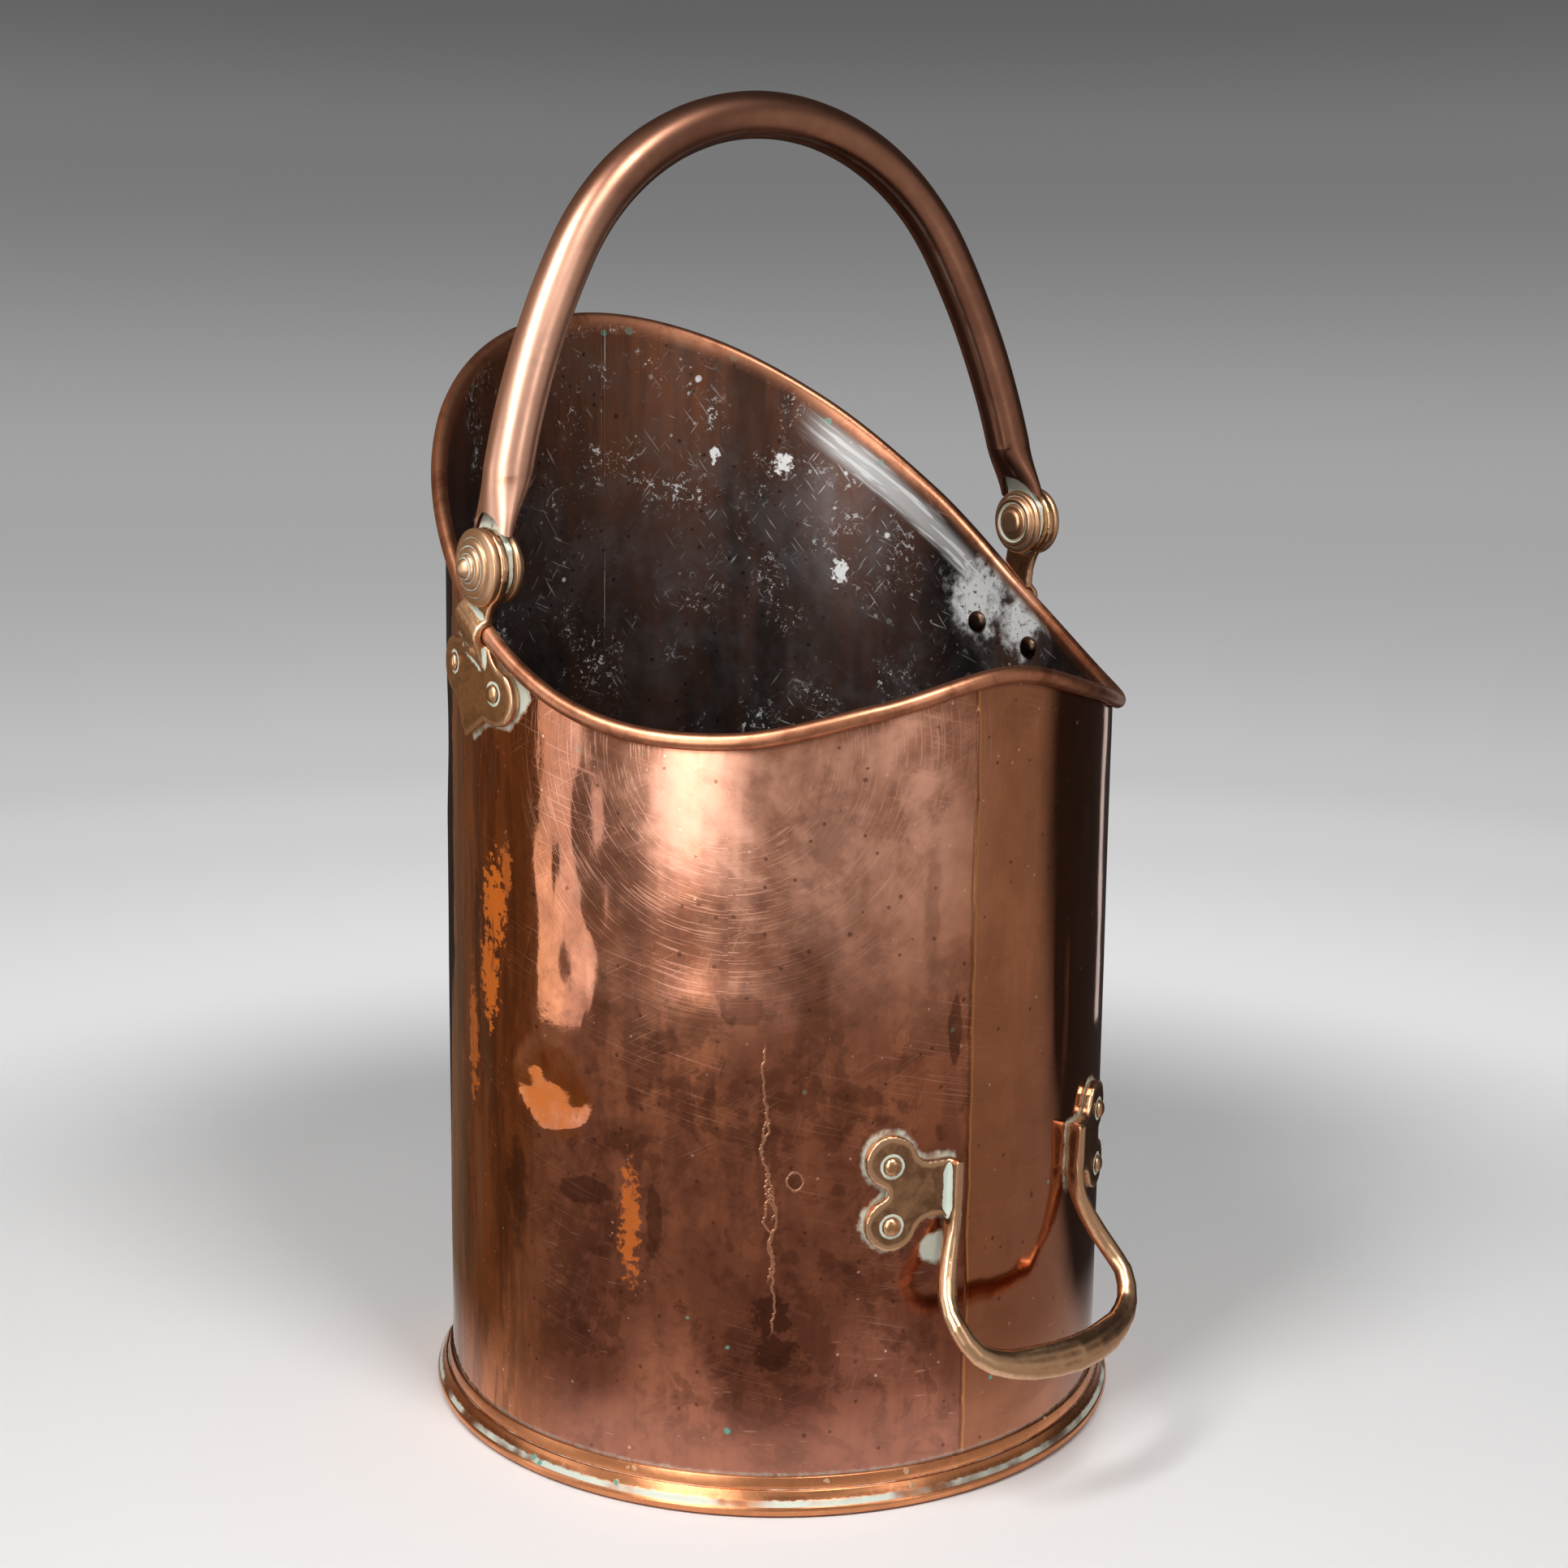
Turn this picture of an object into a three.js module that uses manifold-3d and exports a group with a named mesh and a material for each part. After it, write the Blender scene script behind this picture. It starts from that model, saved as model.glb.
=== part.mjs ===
// Coal bin of sheet copper: a round body with a tall pouring hood, a wired rim and a wired foot,
// a swinging bail on two riveted brackets, and a fixed tipping handle low on the front.
// Millimetres, +Z up. The hood is at +Y, the tipping handle at -Y, the bail pivots at -X and +X.
import * as THREE from 'three';
import { mergeVertices } from 'three/addons/utils/BufferGeometryUtils.js';
import Module from 'manifold-3d';

const wasm = await Module();
wasm.setup();

// Sizes that every piece follows
const bodyRadius = 150;
const sheet = 1.2;
const seatGap = 0.3;
const cutOverrun = 5;

// Body and rim
const wallFoot = 2;
const rimDipHeight = 319.5;
const hoodRise = 167.5;
const rimRiseShares = [0.142, 0.07, 0, 0.035, 0.209, 0.496, 0.76, 0.937, 1];
const beadRadius = 3.5;
const curlEnd = THREE.MathUtils.degToRad(-120);
const lapStart = THREE.MathUtils.degToRad(-5.5);
const lapWidth = 10;
const lapStep = 0.5;

// Base pan
const panHeight = 12;
const panFoot = 3;
const panCorner = 3;

// Foot ring
const footHeight = 15;
const footSheet = 1;
const footSpread = 7.1;
const footCurlRadius = 2.9;
const footBandSpread = 2.2;
const footBandHeight = 11.2;
const footLedgeSpread = 3.2;
const footLedgeHeight = 10.2;

// Bail pivots
const pivotRise = 32.1;
const pivotTilt = THREE.MathUtils.degToRad(1.8);
const pinRadius = 4;
const pinHeadRadius = 6.3;
const pinHeadHeight = 1.4;
const runningGap = 0.3;
const tongueThickness = 3.3;
const tongueInset = 2.7;
const eyeThickness = 4;
const eyeRadius = 16.4;
const knobRadius = 16.2;
const knobRim = 3.3;
const knobHeight = 11;
const knobBore = 5;
const washerRadius = 15.4;
const washerRim = 3.2;
const washerHeight = 5.6;

// Bail
const bailRadius = 10.3;
const bailWall = 1.4;
const crownInset = 30;
const crownRise = 67.5;
const crownAngle = THREE.MathUtils.degToRad(59.5);
const legRadius = 335;
const bailLean = THREE.MathUtils.degToRad(2.1);
const pinchStart = 38;
const pinchEnd = 12;
const pinchHalfWidth = 13;
const pinchHalfThickness = 6;
const tubeEndRadius = 17.8;
const archRadius = 11;
const archHeight = 11.4;
const stubTop = 36;
const stubHalfTop = 7.2;
const stubHalfFoot = 8.8;

// Bail brackets
const bracketDrop = 19.7;
const bracketOffset = 11;
const bracketTurn = THREE.MathUtils.degToRad(14.9);
const plateThickness = 4;
const bracketRivetReach = 18.7;
const bracketLobeReach = 20.3;
const bracketLobeDrop = 1.5;
const bracketLobeRadius = 12;
const bracketShoulderReach = 14;
const bracketShoulderDrop = 14;
const bracketTipDrop = 27;
const bracketRootHeight = 23;
const neckHalfWidth = 8.8;
const neckTopHalfWidth = 12.6;
const beadClearance = 0.6;
const bracketShield = 3.6;

// Tipping handle
const handleTurn = THREE.MathUtils.degToRad(5.2);
const handleSkew = THREE.MathUtils.degToRad(1.8);
const handleHeight = 133;
const handlePlateReach = 56.3;
const handleRivetReach = 65.4;
const handleRivetRise = 12.6;
const handleRivetSink = 1;
const handleLobeReach = 8.5;
const handleLobeRise = 13.3;
const handleLobeRadius = 11;
const handleNeckHalf = 12;
const handleFillet = 7;
const handleNotch = 3.1;
const webReach = 38.4;
const webThickness = 4.4;
const webDepth = 7.8;
const barWidth = 8.4;
const barDepth = 8;
const gripWidth = 15;
const legReach = 52.2;
const gripStand = 37.4;
const gripDrop = 68;

// Rivets
const rivetRadius = 2.5;
const rivetHeadRadius = 3.9;
const rivetHeadHeight = 2.2;
const burrRadius = 5.5;
const burrHeight = 2.6;

// Facet counts
const ringSteps = 48;
const curlSteps = 8;
const wireSides = 6;
const turnedSteps = 20;
const rivetSteps = 12;
const barSides = 12;
const liningSides = 8;
const barSpans = 34;

// Sizes that follow from those above
const rivetHoleRadius = rivetRadius + seatGap;
const boreRadius = pinRadius + runningGap;
const tongueFace = bodyRadius - tongueInset;
const eyeFace = tongueFace + tongueThickness + runningGap;
const knobFace = eyeFace + eyeThickness + seatGap;
const washerFace = tongueFace - runningGap;
const beadCentre = bodyRadius + beadRadius - sheet;
const crownRadius = bodyRadius - crownInset;

// Finishes
const copper = new THREE.MeshStandardMaterial({ color: 0xb0654a, roughness: 0.3, metalness: 1 });
const brownCopper = new THREE.MeshStandardMaterial({ color: 0x9a5a38, roughness: 0.35, metalness: 1 });
const bronze = new THREE.MeshStandardMaterial({ color: 0x94673f, roughness: 0.35, metalness: 1 });
const darkIron = new THREE.MeshStandardMaterial({ color: 0x3c3632, roughness: 0.7, metalness: 0.9 });

// Geometry helpers

// Turns a surface that encloses a negative volume the right way out.
function faceOutward(geometry) {
  const place = geometry.getAttribute('position');
  const index = geometry.getIndex();
  const a = new THREE.Vector3();
  const b = new THREE.Vector3();
  const c = new THREE.Vector3();
  let volume = 0;
  for (let i = 0; i < index.count; i += 3) {
    a.fromBufferAttribute(place, index.getX(i));
    b.fromBufferAttribute(place, index.getX(i + 1));
    c.fromBufferAttribute(place, index.getX(i + 2));
    volume += a.dot(b.cross(c));
  }
  if (volume < 0) {
    for (let i = 0; i < index.count; i += 3) {
      const first = index.getX(i);
      index.setX(i, index.getX(i + 2));
      index.setX(i + 2, first);
    }
  }
  return geometry;
}

// A closed surface over rings of points, which meet round a hoop or end in two flat caps.
function skinOver(rings, hoop) {
  const size = rings[0].length;
  const index = [];
  const spans = hoop ? rings.length : rings.length - 1;
  for (let i = 0; i < spans; i++) {
    const here = i * size;
    const next = ((i + 1) % rings.length) * size;
    for (let j = 0; j < size; j++) {
      const k = (j + 1) % size;
      index.push(here + j, here + k, next + k, here + j, next + k, next + j);
    }
  }
  if (!hoop) {
    const last = (rings.length - 1) * size;
    for (let j = 1; j < size - 1; j++) {
      index.push(0, j + 1, j, last, last + j, last + j + 1);
    }
  }
  const places = rings.flat().flatMap((point) => point.toArray());
  const geometry = new THREE.BufferGeometry();
  geometry.setAttribute('position', new THREE.Float32BufferAttribute(places, 3));
  geometry.setIndex(index);
  return faceOutward(geometry);
}

// A copy whose faces share their corners.
function mergedCopy(geometry) {
  const bare = geometry.clone();
  bare.deleteAttribute('normal');
  bare.deleteAttribute('uv');
  return mergeVertices(bare);
}

function toSolid(geometry) {
  const merged = mergedCopy(geometry);
  const solid = new wasm.Mesh({
    numProp: 3,
    vertProperties: new Float32Array(merged.getAttribute('position').array),
    triVerts: new Uint32Array(merged.getIndex().array),
  });
  return new wasm.Manifold(solid);
}

function toGeometry(solid) {
  const mesh = solid.getMesh();
  const geometry = new THREE.BufferGeometry();
  geometry.setAttribute('position', new THREE.Float32BufferAttribute(mesh.vertProperties, 3));
  geometry.setIndex(Array.from(mesh.triVerts));
  return geometry;
}

// A turned piece: its outline in (radius, height along the axis) starts and ends on the axis.
function turned(outline, steps) {
  const points = outline.map(([radius, along]) => new THREE.Vector2(radius, along));
  return faceOutward(new THREE.LatheGeometry(points, steps));
}

// A flat outline cut out as a thick prism: outline x and y go along the first two directions.
function prism(outline, depth, across, up, out, corner) {
  const geometry = new THREE.ExtrudeGeometry(outline, { depth, bevelEnabled: false, curveSegments: 6 });
  const frame = new THREE.Matrix4().makeBasis(across, up, out);
  frame.setPosition(corner);
  return geometry.applyMatrix4(frame);
}

// The mirror image of a piece for the left side, or the piece itself for the right side.
function onSide(geometry, side) {
  if (side > 0) {
    return geometry;
  }
  return faceOutward(mergedCopy(geometry).applyMatrix4(new THREE.Matrix4().makeScale(-1, 1, 1)));
}

function named(name, geometry, material) {
  geometry.computeVertexNormals();
  const mesh = new THREE.Mesh(geometry, material);
  mesh.name = name;
  return mesh;
}

// A point at an angle from the front (-Y) towards the right (+X).
function roundBody(radius, angle, height) {
  return new THREE.Vector3(radius * Math.sin(angle), -radius * Math.cos(angle), height);
}

// The angle that a length round the wall spans.
function arcAngle(length) {
  return length / bodyRadius;
}

// Rim

// Height of the rim's bead centre: low dips beside the front, a rise to the pivots and the tall hood.
function rimHeight(angle) {
  const spans = rimRiseShares.length - 1;
  const along = (Math.abs(Math.atan2(Math.sin(angle), Math.cos(angle))) / Math.PI) * spans;
  const start = Math.min(Math.floor(along), spans - 1);
  const share = (i) => rimRiseShares[spans - Math.abs(spans - Math.abs(i))];
  const t = along - start;
  const [a, b, c, d] = [share(start - 1), share(start), share(start + 1), share(start + 2)];
  const bend = (2 * a - 5 * b + 4 * c - d) * t ** 2 + (3 * b - a - 3 * c + d) * t ** 3;
  return rimDipHeight + hoodRise * 0.5 * (2 * b + (c - a) * t + bend);
}

function rimSlope(angle) {
  const nudge = THREE.MathUtils.degToRad(0.5);
  return (rimHeight(angle + nudge) - rimHeight(angle - nudge)) / (2 * nudge * bodyRadius);
}

// A point on a circle round the bead's centre, stretched upright so that a sloping bead stays round.
function beadPoint(angle, radius, turn) {
  const stretch = Math.hypot(1, rimSlope(angle));
  const reach = beadCentre + radius * Math.cos(turn);
  return roundBody(reach, angle, rimHeight(angle) + radius * Math.sin(turn) * stretch);
}

const sideRimHeight = rimHeight(Math.PI / 2);
const pivotHeight = sideRimHeight + pivotRise;
const bracketHeight = sideRimHeight - bracketDrop;

// The lap seam stands one step proud of the wall and fades out over its width.
function lapRise(angle) {
  const past = (angle - lapStart) * bodyRadius;
  return past < 0 || past > lapWidth ? 0 : lapStep * (1 - past / lapWidth);
}

// Every hoop shares these angles, which are even but for three more at the lap seam.
const hoopAngles = [
  ...Array.from({ length: ringSteps }, (_, i) => (i / ringSteps) * 2 * Math.PI - Math.PI),
  lapStart - arcAngle(lapStep),
  lapStart,
  lapStart + arcAngle(lapWidth),
].sort((a, b) => a - b);

function wallSection(angle) {
  const lap = lapRise(angle);
  const lapFoot = footHeight + lapStep;
  const lapTop = rimHeight(angle) - 3 * beadRadius;
  const section = [
    roundBody(bodyRadius - sheet, angle, wallFoot),
    roundBody(bodyRadius, angle, wallFoot),
    roundBody(bodyRadius, angle, lapFoot),
    roundBody(bodyRadius + lap, angle, lapFoot + lapStep),
    roundBody(bodyRadius + lap, angle, lapTop),
  ];
  for (let i = 0; i <= curlSteps; i++) {
    section.push(beadPoint(angle, beadRadius - sheet, Math.PI + (curlEnd - Math.PI) * (i / curlSteps)));
  }
  for (let i = curlSteps; i >= 0; i--) {
    section.push(beadPoint(angle, beadRadius, Math.PI + (curlEnd - Math.PI) * (i / curlSteps)));
  }
  return section;
}

// Where the rivets go: angle round the body from the front, and height.
function bracketRivetPlaces(side) {
  return [-1, 1].map((way) => {
    const across = bracketOffset + way * bracketRivetReach * Math.cos(bracketTurn);
    return {
      angle: side * (Math.PI / 2 + Math.asin(across / (bodyRadius + plateThickness / 2))),
      height: bracketHeight + way * bracketRivetReach * Math.sin(bracketTurn),
      label: way < 0 ? 'front' : 'back',
    };
  });
}

// The handle sits a little askew, so that its right plate is lower than its left one.
function handlePlateHeight(side) {
  return handleHeight - side * handlePlateReach * Math.tan(handleSkew);
}

function handleRivetPlaces(side) {
  return [1, -1].map((way) => ({
    angle: handleTurn + side * arcAngle(handleRivetReach),
    height: handlePlateHeight(side) - handleRivetSink + way * handleRivetRise,
    label: way > 0 ? 'upper' : 'lower',
  }));
}

// A plain rod across the wall at a rivet, used to drill the plates and the wall.
function rivetDrill({ angle, height }) {
  const length = 2 * (plateThickness + sheet + cutOverrun);
  const rod = new THREE.CylinderGeometry(rivetHoleRadius, rivetHoleRadius, length, rivetSteps);
  const along = roundBody(bodyRadius, angle, height);
  return toSolid(rod.rotateZ(angle - Math.PI).translate(along.x, along.y, along.z));
}

function bodyWall() {
  let wall = toSolid(skinOver(hoopAngles.map(wallSection), true));
  for (const side of [-1, 1]) {
    for (const place of [...bracketRivetPlaces(side), ...handleRivetPlaces(side)]) {
      wall = wall.subtract(rivetDrill(place));
    }
  }
  return toGeometry(wall);
}

function rimWire() {
  const radius = beadRadius - sheet - seatGap;
  const rings = hoopAngles.map((angle) =>
    Array.from({ length: wireSides }, (_, i) => beadPoint(angle, radius, (i / wireSides) * 2 * Math.PI)),
  );
  return skinOver(rings, true);
}

// Foot and base

function basePan() {
  const outer = bodyRadius - sheet - seatGap;
  const outline = [
    [0, panHeight],
    [outer - panCorner, panHeight],
    [outer, panHeight - panCorner],
    [outer, panFoot],
    [outer - sheet, panFoot],
    [outer - sheet, panHeight - panCorner],
    [outer - panCorner, panHeight - sheet],
    [0, panHeight - sheet],
  ];
  return turned(outline, ringSteps).rotateX(Math.PI / 2);
}

// The foot's wired edge: eight-sided, with one side flat on the floor.
const footTurn = Math.PI / 8;
const footCurlCentre = bodyRadius + footSpread - footCurlRadius * Math.cos(footTurn);
const footCurlHeight = footCurlRadius * Math.cos(footTurn);

function footCurl(radius, sides) {
  return sides.map((side) => {
    const turn = 2 * footTurn * side + footTurn;
    return [footCurlCentre + radius * Math.cos(turn), footCurlHeight + radius * Math.sin(turn)];
  });
}

function footRing() {
  const inner = bodyRadius + seatGap;
  const band = bodyRadius + footBandSpread;
  const outline = [
    [inner, footHeight],
    [inner + footSheet, footHeight],
    [band, footBandHeight],
    [band, footLedgeHeight],
    [bodyRadius + footLedgeSpread, footLedgeHeight],
    ...footCurl(footCurlRadius, [1, 0, -1, -2, -3, -4]),
    ...footCurl(footCurlRadius - footSheet, [-4, -3, -2, -1, 0, 1]),
    [band, footLedgeHeight - footSheet],
    [inner, footLedgeHeight],
  ];
  const section = (angle) => outline.map(([radius, height]) => roundBody(radius, angle, height));
  return skinOver(hoopAngles.map(section), true);
}

function footWire() {
  const radius = footCurlRadius - footSheet - seatGap;
  const rings = hoopAngles.map((angle) =>
    Array.from({ length: wireSides }, (_, i) => {
      const turn = (i / wireSides) * 2 * Math.PI;
      const reach = footCurlCentre + radius * Math.cos(turn);
      return roundBody(reach, angle, footCurlHeight + radius * Math.sin(turn));
    }),
  );
  return skinOver(rings, true);
}

// Rivets

// A rivet on the Y axis, with zero at the wall's outer face: small outer head, broad inner burr.
function rivetGeometry() {
  const seat = plateThickness + 2 * seatGap;
  const inner = -(sheet + 1.5 * seatGap);
  return turned(
    [
      [0, inner - burrHeight],
      [burrRadius * 0.6, inner - burrHeight * 0.85],
      [burrRadius, inner - burrHeight * 0.3],
      [burrRadius, inner],
      [rivetRadius, inner],
      [rivetRadius, seat],
      [rivetHeadRadius, seat],
      [rivetHeadRadius * 0.85, seat + rivetHeadHeight * 0.65],
      [0, seat + rivetHeadHeight],
    ],
    rivetSteps,
  );
}

function rivet(name, { angle, height }) {
  const mesh = named(name, rivetGeometry(), bronze);
  mesh.position.copy(roundBody(bodyRadius, angle, height));
  mesh.rotation.z = angle - Math.PI;
  return mesh;
}

// Pivot frame: its X axis is the pin line, a little lower on the left than on the right.
const pivotFrame = new THREE.Matrix4().makeRotationY(-pivotTilt).setPosition(0, 0, pivotHeight);

function pivotRod(radius, from, to, side) {
  const rod = new THREE.CylinderGeometry(radius, radius, to - from, turnedSteps);
  rod.rotateZ(Math.PI / 2).translate(side * (from + to) * 0.5, 0, 0);
  return toSolid(rod.applyMatrix4(pivotFrame));
}

// Bail bracket

// The sheet of space just outside the wall, in which a riveted plate lies.
function plateShell(low, high) {
  const inner = bodyRadius + seatGap;
  const outline = [
    [inner, low],
    [inner + plateThickness, low],
    [inner + plateThickness, high],
    [inner, high],
    [inner, low],
  ];
  return toSolid(turned(outline, 2.5 * ringSteps).rotateX(Math.PI / 2));
}

// The plate's outline about the middle of its two rivets: two lobes and a pointed foot.
function bracketPlateOutline() {
  const outline = new THREE.Shape();
  const lobeTop = bracketLobeRadius - bracketLobeDrop;
  outline.moveTo(neckHalfWidth, bracketRootHeight);
  outline.quadraticCurveTo(neckHalfWidth * 1.2, lobeTop * 1.1, bracketLobeReach, lobeTop);
  outline.absarc(bracketLobeReach, -bracketLobeDrop, bracketLobeRadius, Math.PI / 2, -Math.PI / 2, true);
  outline.lineTo(bracketShoulderReach, -bracketShoulderDrop);
  outline.lineTo(0, -bracketTipDrop);
  outline.lineTo(-bracketShoulderReach, -bracketShoulderDrop);
  outline.lineTo(-bracketLobeReach, -bracketLobeDrop - bracketLobeRadius);
  outline.absarc(-bracketLobeReach, -bracketLobeDrop, bracketLobeRadius, -Math.PI / 2, Math.PI / 2, true);
  outline.quadraticCurveTo(-neckHalfWidth * 1.2, lobeTop * 1.1, -neckHalfWidth, bracketRootHeight);
  outline.closePath();
  return outline;
}

// The neck's outline from inside the plate up to the eye, waisted below it.
function neckOutline(eye) {
  const foot = bracketRootHeight * 0.3;
  const shoulder = eye.y - eyeRadius * 0.62;
  const waist = shoulder - eyeRadius * 0.75;
  const bend = shoulder - neckHalfWidth * 0.4;
  const outline = new THREE.Shape();
  outline.moveTo(-neckHalfWidth, foot);
  outline.lineTo(eye.x - neckHalfWidth, waist);
  outline.quadraticCurveTo(eye.x - neckHalfWidth, bend, eye.x - neckTopHalfWidth, shoulder);
  outline.lineTo(eye.x + neckTopHalfWidth, shoulder);
  outline.quadraticCurveTo(eye.x + neckHalfWidth, bend, eye.x + neckHalfWidth, waist);
  outline.lineTo(neckHalfWidth, foot);
  outline.closePath();
  return outline;
}

// Side section of the riser, as distance above the bead's centre line and distance from the
// body's axis: flat behind the eye, stepped out over the bead, then down to the plate.
function riserOutline(eyeRise) {
  const clear = beadRadius + beadClearance;
  const plateFace = bodyRadius + seatGap;
  const top = eyeRise - eyeRadius * 0.5;
  const crest = beadCentre + clear + bracketShield;
  const foot = -2 * bracketRootHeight;
  const outline = new THREE.Shape();
  outline.moveTo(top, eyeFace);
  outline.lineTo(0, eyeFace);
  outline.lineTo(-clear * 1.2, plateFace);
  outline.lineTo(foot, plateFace);
  outline.lineTo(foot, plateFace + plateThickness * 0.7);
  outline.lineTo(-clear * 4.4, plateFace + plateThickness * 0.7);
  outline.lineTo(-clear * 2.8, plateFace + plateThickness * 1.2);
  outline.lineTo(-clear * 0.8, crest - bracketShield * 0.2);
  outline.lineTo(-clear * 0.1, crest);
  outline.lineTo(clear * 0.6, crest - bracketShield * 0.3);
  outline.lineTo(clear * 1.4, eyeFace + eyeThickness);
  outline.lineTo(top, eyeFace + eyeThickness);
  outline.closePath();
  return outline;
}

// The room that a bracket leaves round the rim's bead.
function beadRoom() {
  const turns = Array.from({ length: 2 * curlSteps }, (_, i) => (i / curlSteps) * Math.PI);
  const radius = beadRadius + beadClearance;
  const rings = hoopAngles.map((angle) => turns.map((turn) => beadPoint(angle, radius, turn)));
  return toSolid(skinOver(rings, true));
}

function bracket(side) {
  const outward = new THREE.Vector3(1, 0, 0);
  const across = new THREE.Vector3(0, Math.cos(bracketTurn), Math.sin(bracketTurn));
  const up = new THREE.Vector3(0, -Math.sin(bracketTurn), Math.cos(bracketTurn));
  const middle = new THREE.Vector3(0, bracketOffset, bracketHeight);
  const eyeCentre = new THREE.Vector3(side * (eyeFace + eyeThickness * 0.5), 0, 0).applyMatrix4(pivotFrame);
  eyeCentre.x = 0;
  const fromMiddle = eyeCentre.clone().sub(middle);
  const eye = new THREE.Vector2(fromMiddle.dot(across), fromMiddle.dot(up));
  const depth = 2 * (bracketShield + plateThickness + beadRadius * 2 + cutOverrun);
  const corner = middle.clone().setX(bodyRadius - depth * 0.5);
  const cutPlate = toSolid(prism(bracketPlateOutline(), depth, across, up, outward, corner));
  const cutNeck = toSolid(prism(neckOutline(eye), depth, across, up, outward, corner));
  const reach = bracketLobeReach + bracketLobeRadius + bracketTipDrop;
  const plate = plateShell(bracketHeight - reach, bracketHeight + reach).intersect(cutPlate);
  // The riser's folds run along the rim, so its section is swept along the rim's slope.
  const slope = Math.atan(rimSlope(Math.PI / 2));
  const above = new THREE.Vector3(0, -Math.sin(slope), Math.cos(slope));
  const along = new THREE.Vector3(0, Math.cos(slope), Math.sin(slope));
  const rimPoint = new THREE.Vector3(0, 0, rimHeight(Math.PI / 2));
  const sweep = 4 * bracketLobeReach;
  const start = rimPoint.clone().addScaledVector(along, -sweep * 0.5);
  const eyeRise = eyeCentre.clone().sub(rimPoint).dot(above);
  const riser = toSolid(prism(riserOutline(eyeRise), sweep, above, outward, along, start));
  const joined = plate.add(riser.intersect(cutNeck)).subtract(beadRoom());
  const eyeBack = eyeFace + eyeThickness;
  let whole = toSolid(onSide(toGeometry(joined), side)).add(pivotRod(eyeRadius, eyeFace, eyeBack, side));
  whole = whole.subtract(pivotRod(eyeRadius, tongueFace, eyeFace, side));
  whole = whole.subtract(pivotRod(knobRadius + seatGap, eyeBack, knobFace + knobHeight, side));
  whole = whole.subtract(pivotRod(boreRadius, eyeFace - cutOverrun, knobFace + cutOverrun, side));
  for (const place of bracketRivetPlaces(side)) {
    whole = whole.subtract(rivetDrill(place));
  }
  return toGeometry(whole);
}

// Pivot hardware, turned about the pin line

// Shares of the knob's radius and height, from its back face over the steps to its tip.
const knobRimShares = [[0.97, 0], [1, 0.25], [1, 0.8], [0.94, 1]];
const knobStepShares = [
  [0.76, 0.04], [0.73, 0.2], [0.68, 0.26], [0.54, 0.28], [0.51, 0.42],
  [0.36, 0.44], [0.33, 0.56], [0.27, 0.58], [0.2, 0.8], [0, 1],
];

// The stepped knob: rings that shrink outwards to a small cone, with a blind bore for the pin.
function knobGeometry() {
  const rise = knobHeight - knobRim;
  const outline = [
    [0, knobBore],
    [boreRadius, knobBore],
    [boreRadius, 0],
    ...knobRimShares.map(([width, height]) => [knobRadius * width, knobRim * height]),
    ...knobStepShares.map(([width, height]) => [knobRadius * width, knobRim + rise * height]),
  ];
  return turned(outline, turnedSteps);
}

// Shares of the washer's radius, and of its raised rings' height above its rim.
const washerRingShares = [[0.95, 0], [0.82, 0], [0.79, 0.8], [0.7, 1], [0.58, 0.6], [0.5, 1]];

// The inner washer: a ringed disc with a through bore for the pin.
function washerGeometry() {
  const raised = washerHeight - washerRim;
  const outline = [
    [boreRadius, 0],
    [washerRadius * 0.97, 0],
    [washerRadius, washerRim * 0.5],
    ...washerRingShares.map(([width, height]) => [washerRadius * width, washerRim + raised * height]),
    [boreRadius, washerHeight],
    [boreRadius, 0],
  ];
  return turned(outline, turnedSteps);
}

// The pin: a head inside the washer and a shank out into the knob.
function pinGeometry() {
  const length = knobFace + knobBore - seatGap - (washerFace - washerHeight - seatGap);
  const outline = [
    [0, -pinHeadHeight],
    [pinHeadRadius * 0.8, -pinHeadHeight],
    [pinHeadRadius, -pinHeadHeight * 0.5],
    [pinHeadRadius, 0],
    [pinRadius, 0],
    [pinRadius, length],
    [0, length],
  ];
  return turned(outline, rivetSteps);
}

function onPin(name, geometry, material, distance, side, outward) {
  const mesh = named(name, geometry, material);
  mesh.position.x = side * distance;
  mesh.rotation.z = (-side * outward * Math.PI) / 2;
  return mesh;
}

// Bail

// The legs' arc, and where its round tube ends and the pinched part starts.
const legCentreReach = (crownRadius - legRadius) * Math.sin(crownAngle);
const legCentreRise = crownRise + (crownRadius - legRadius) * Math.cos(crownAngle);
const legEnd = Math.acos((pinchStart - legCentreRise) / legRadius);
const legFootReach = legCentreReach + legRadius * Math.sin(legEnd);

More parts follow.
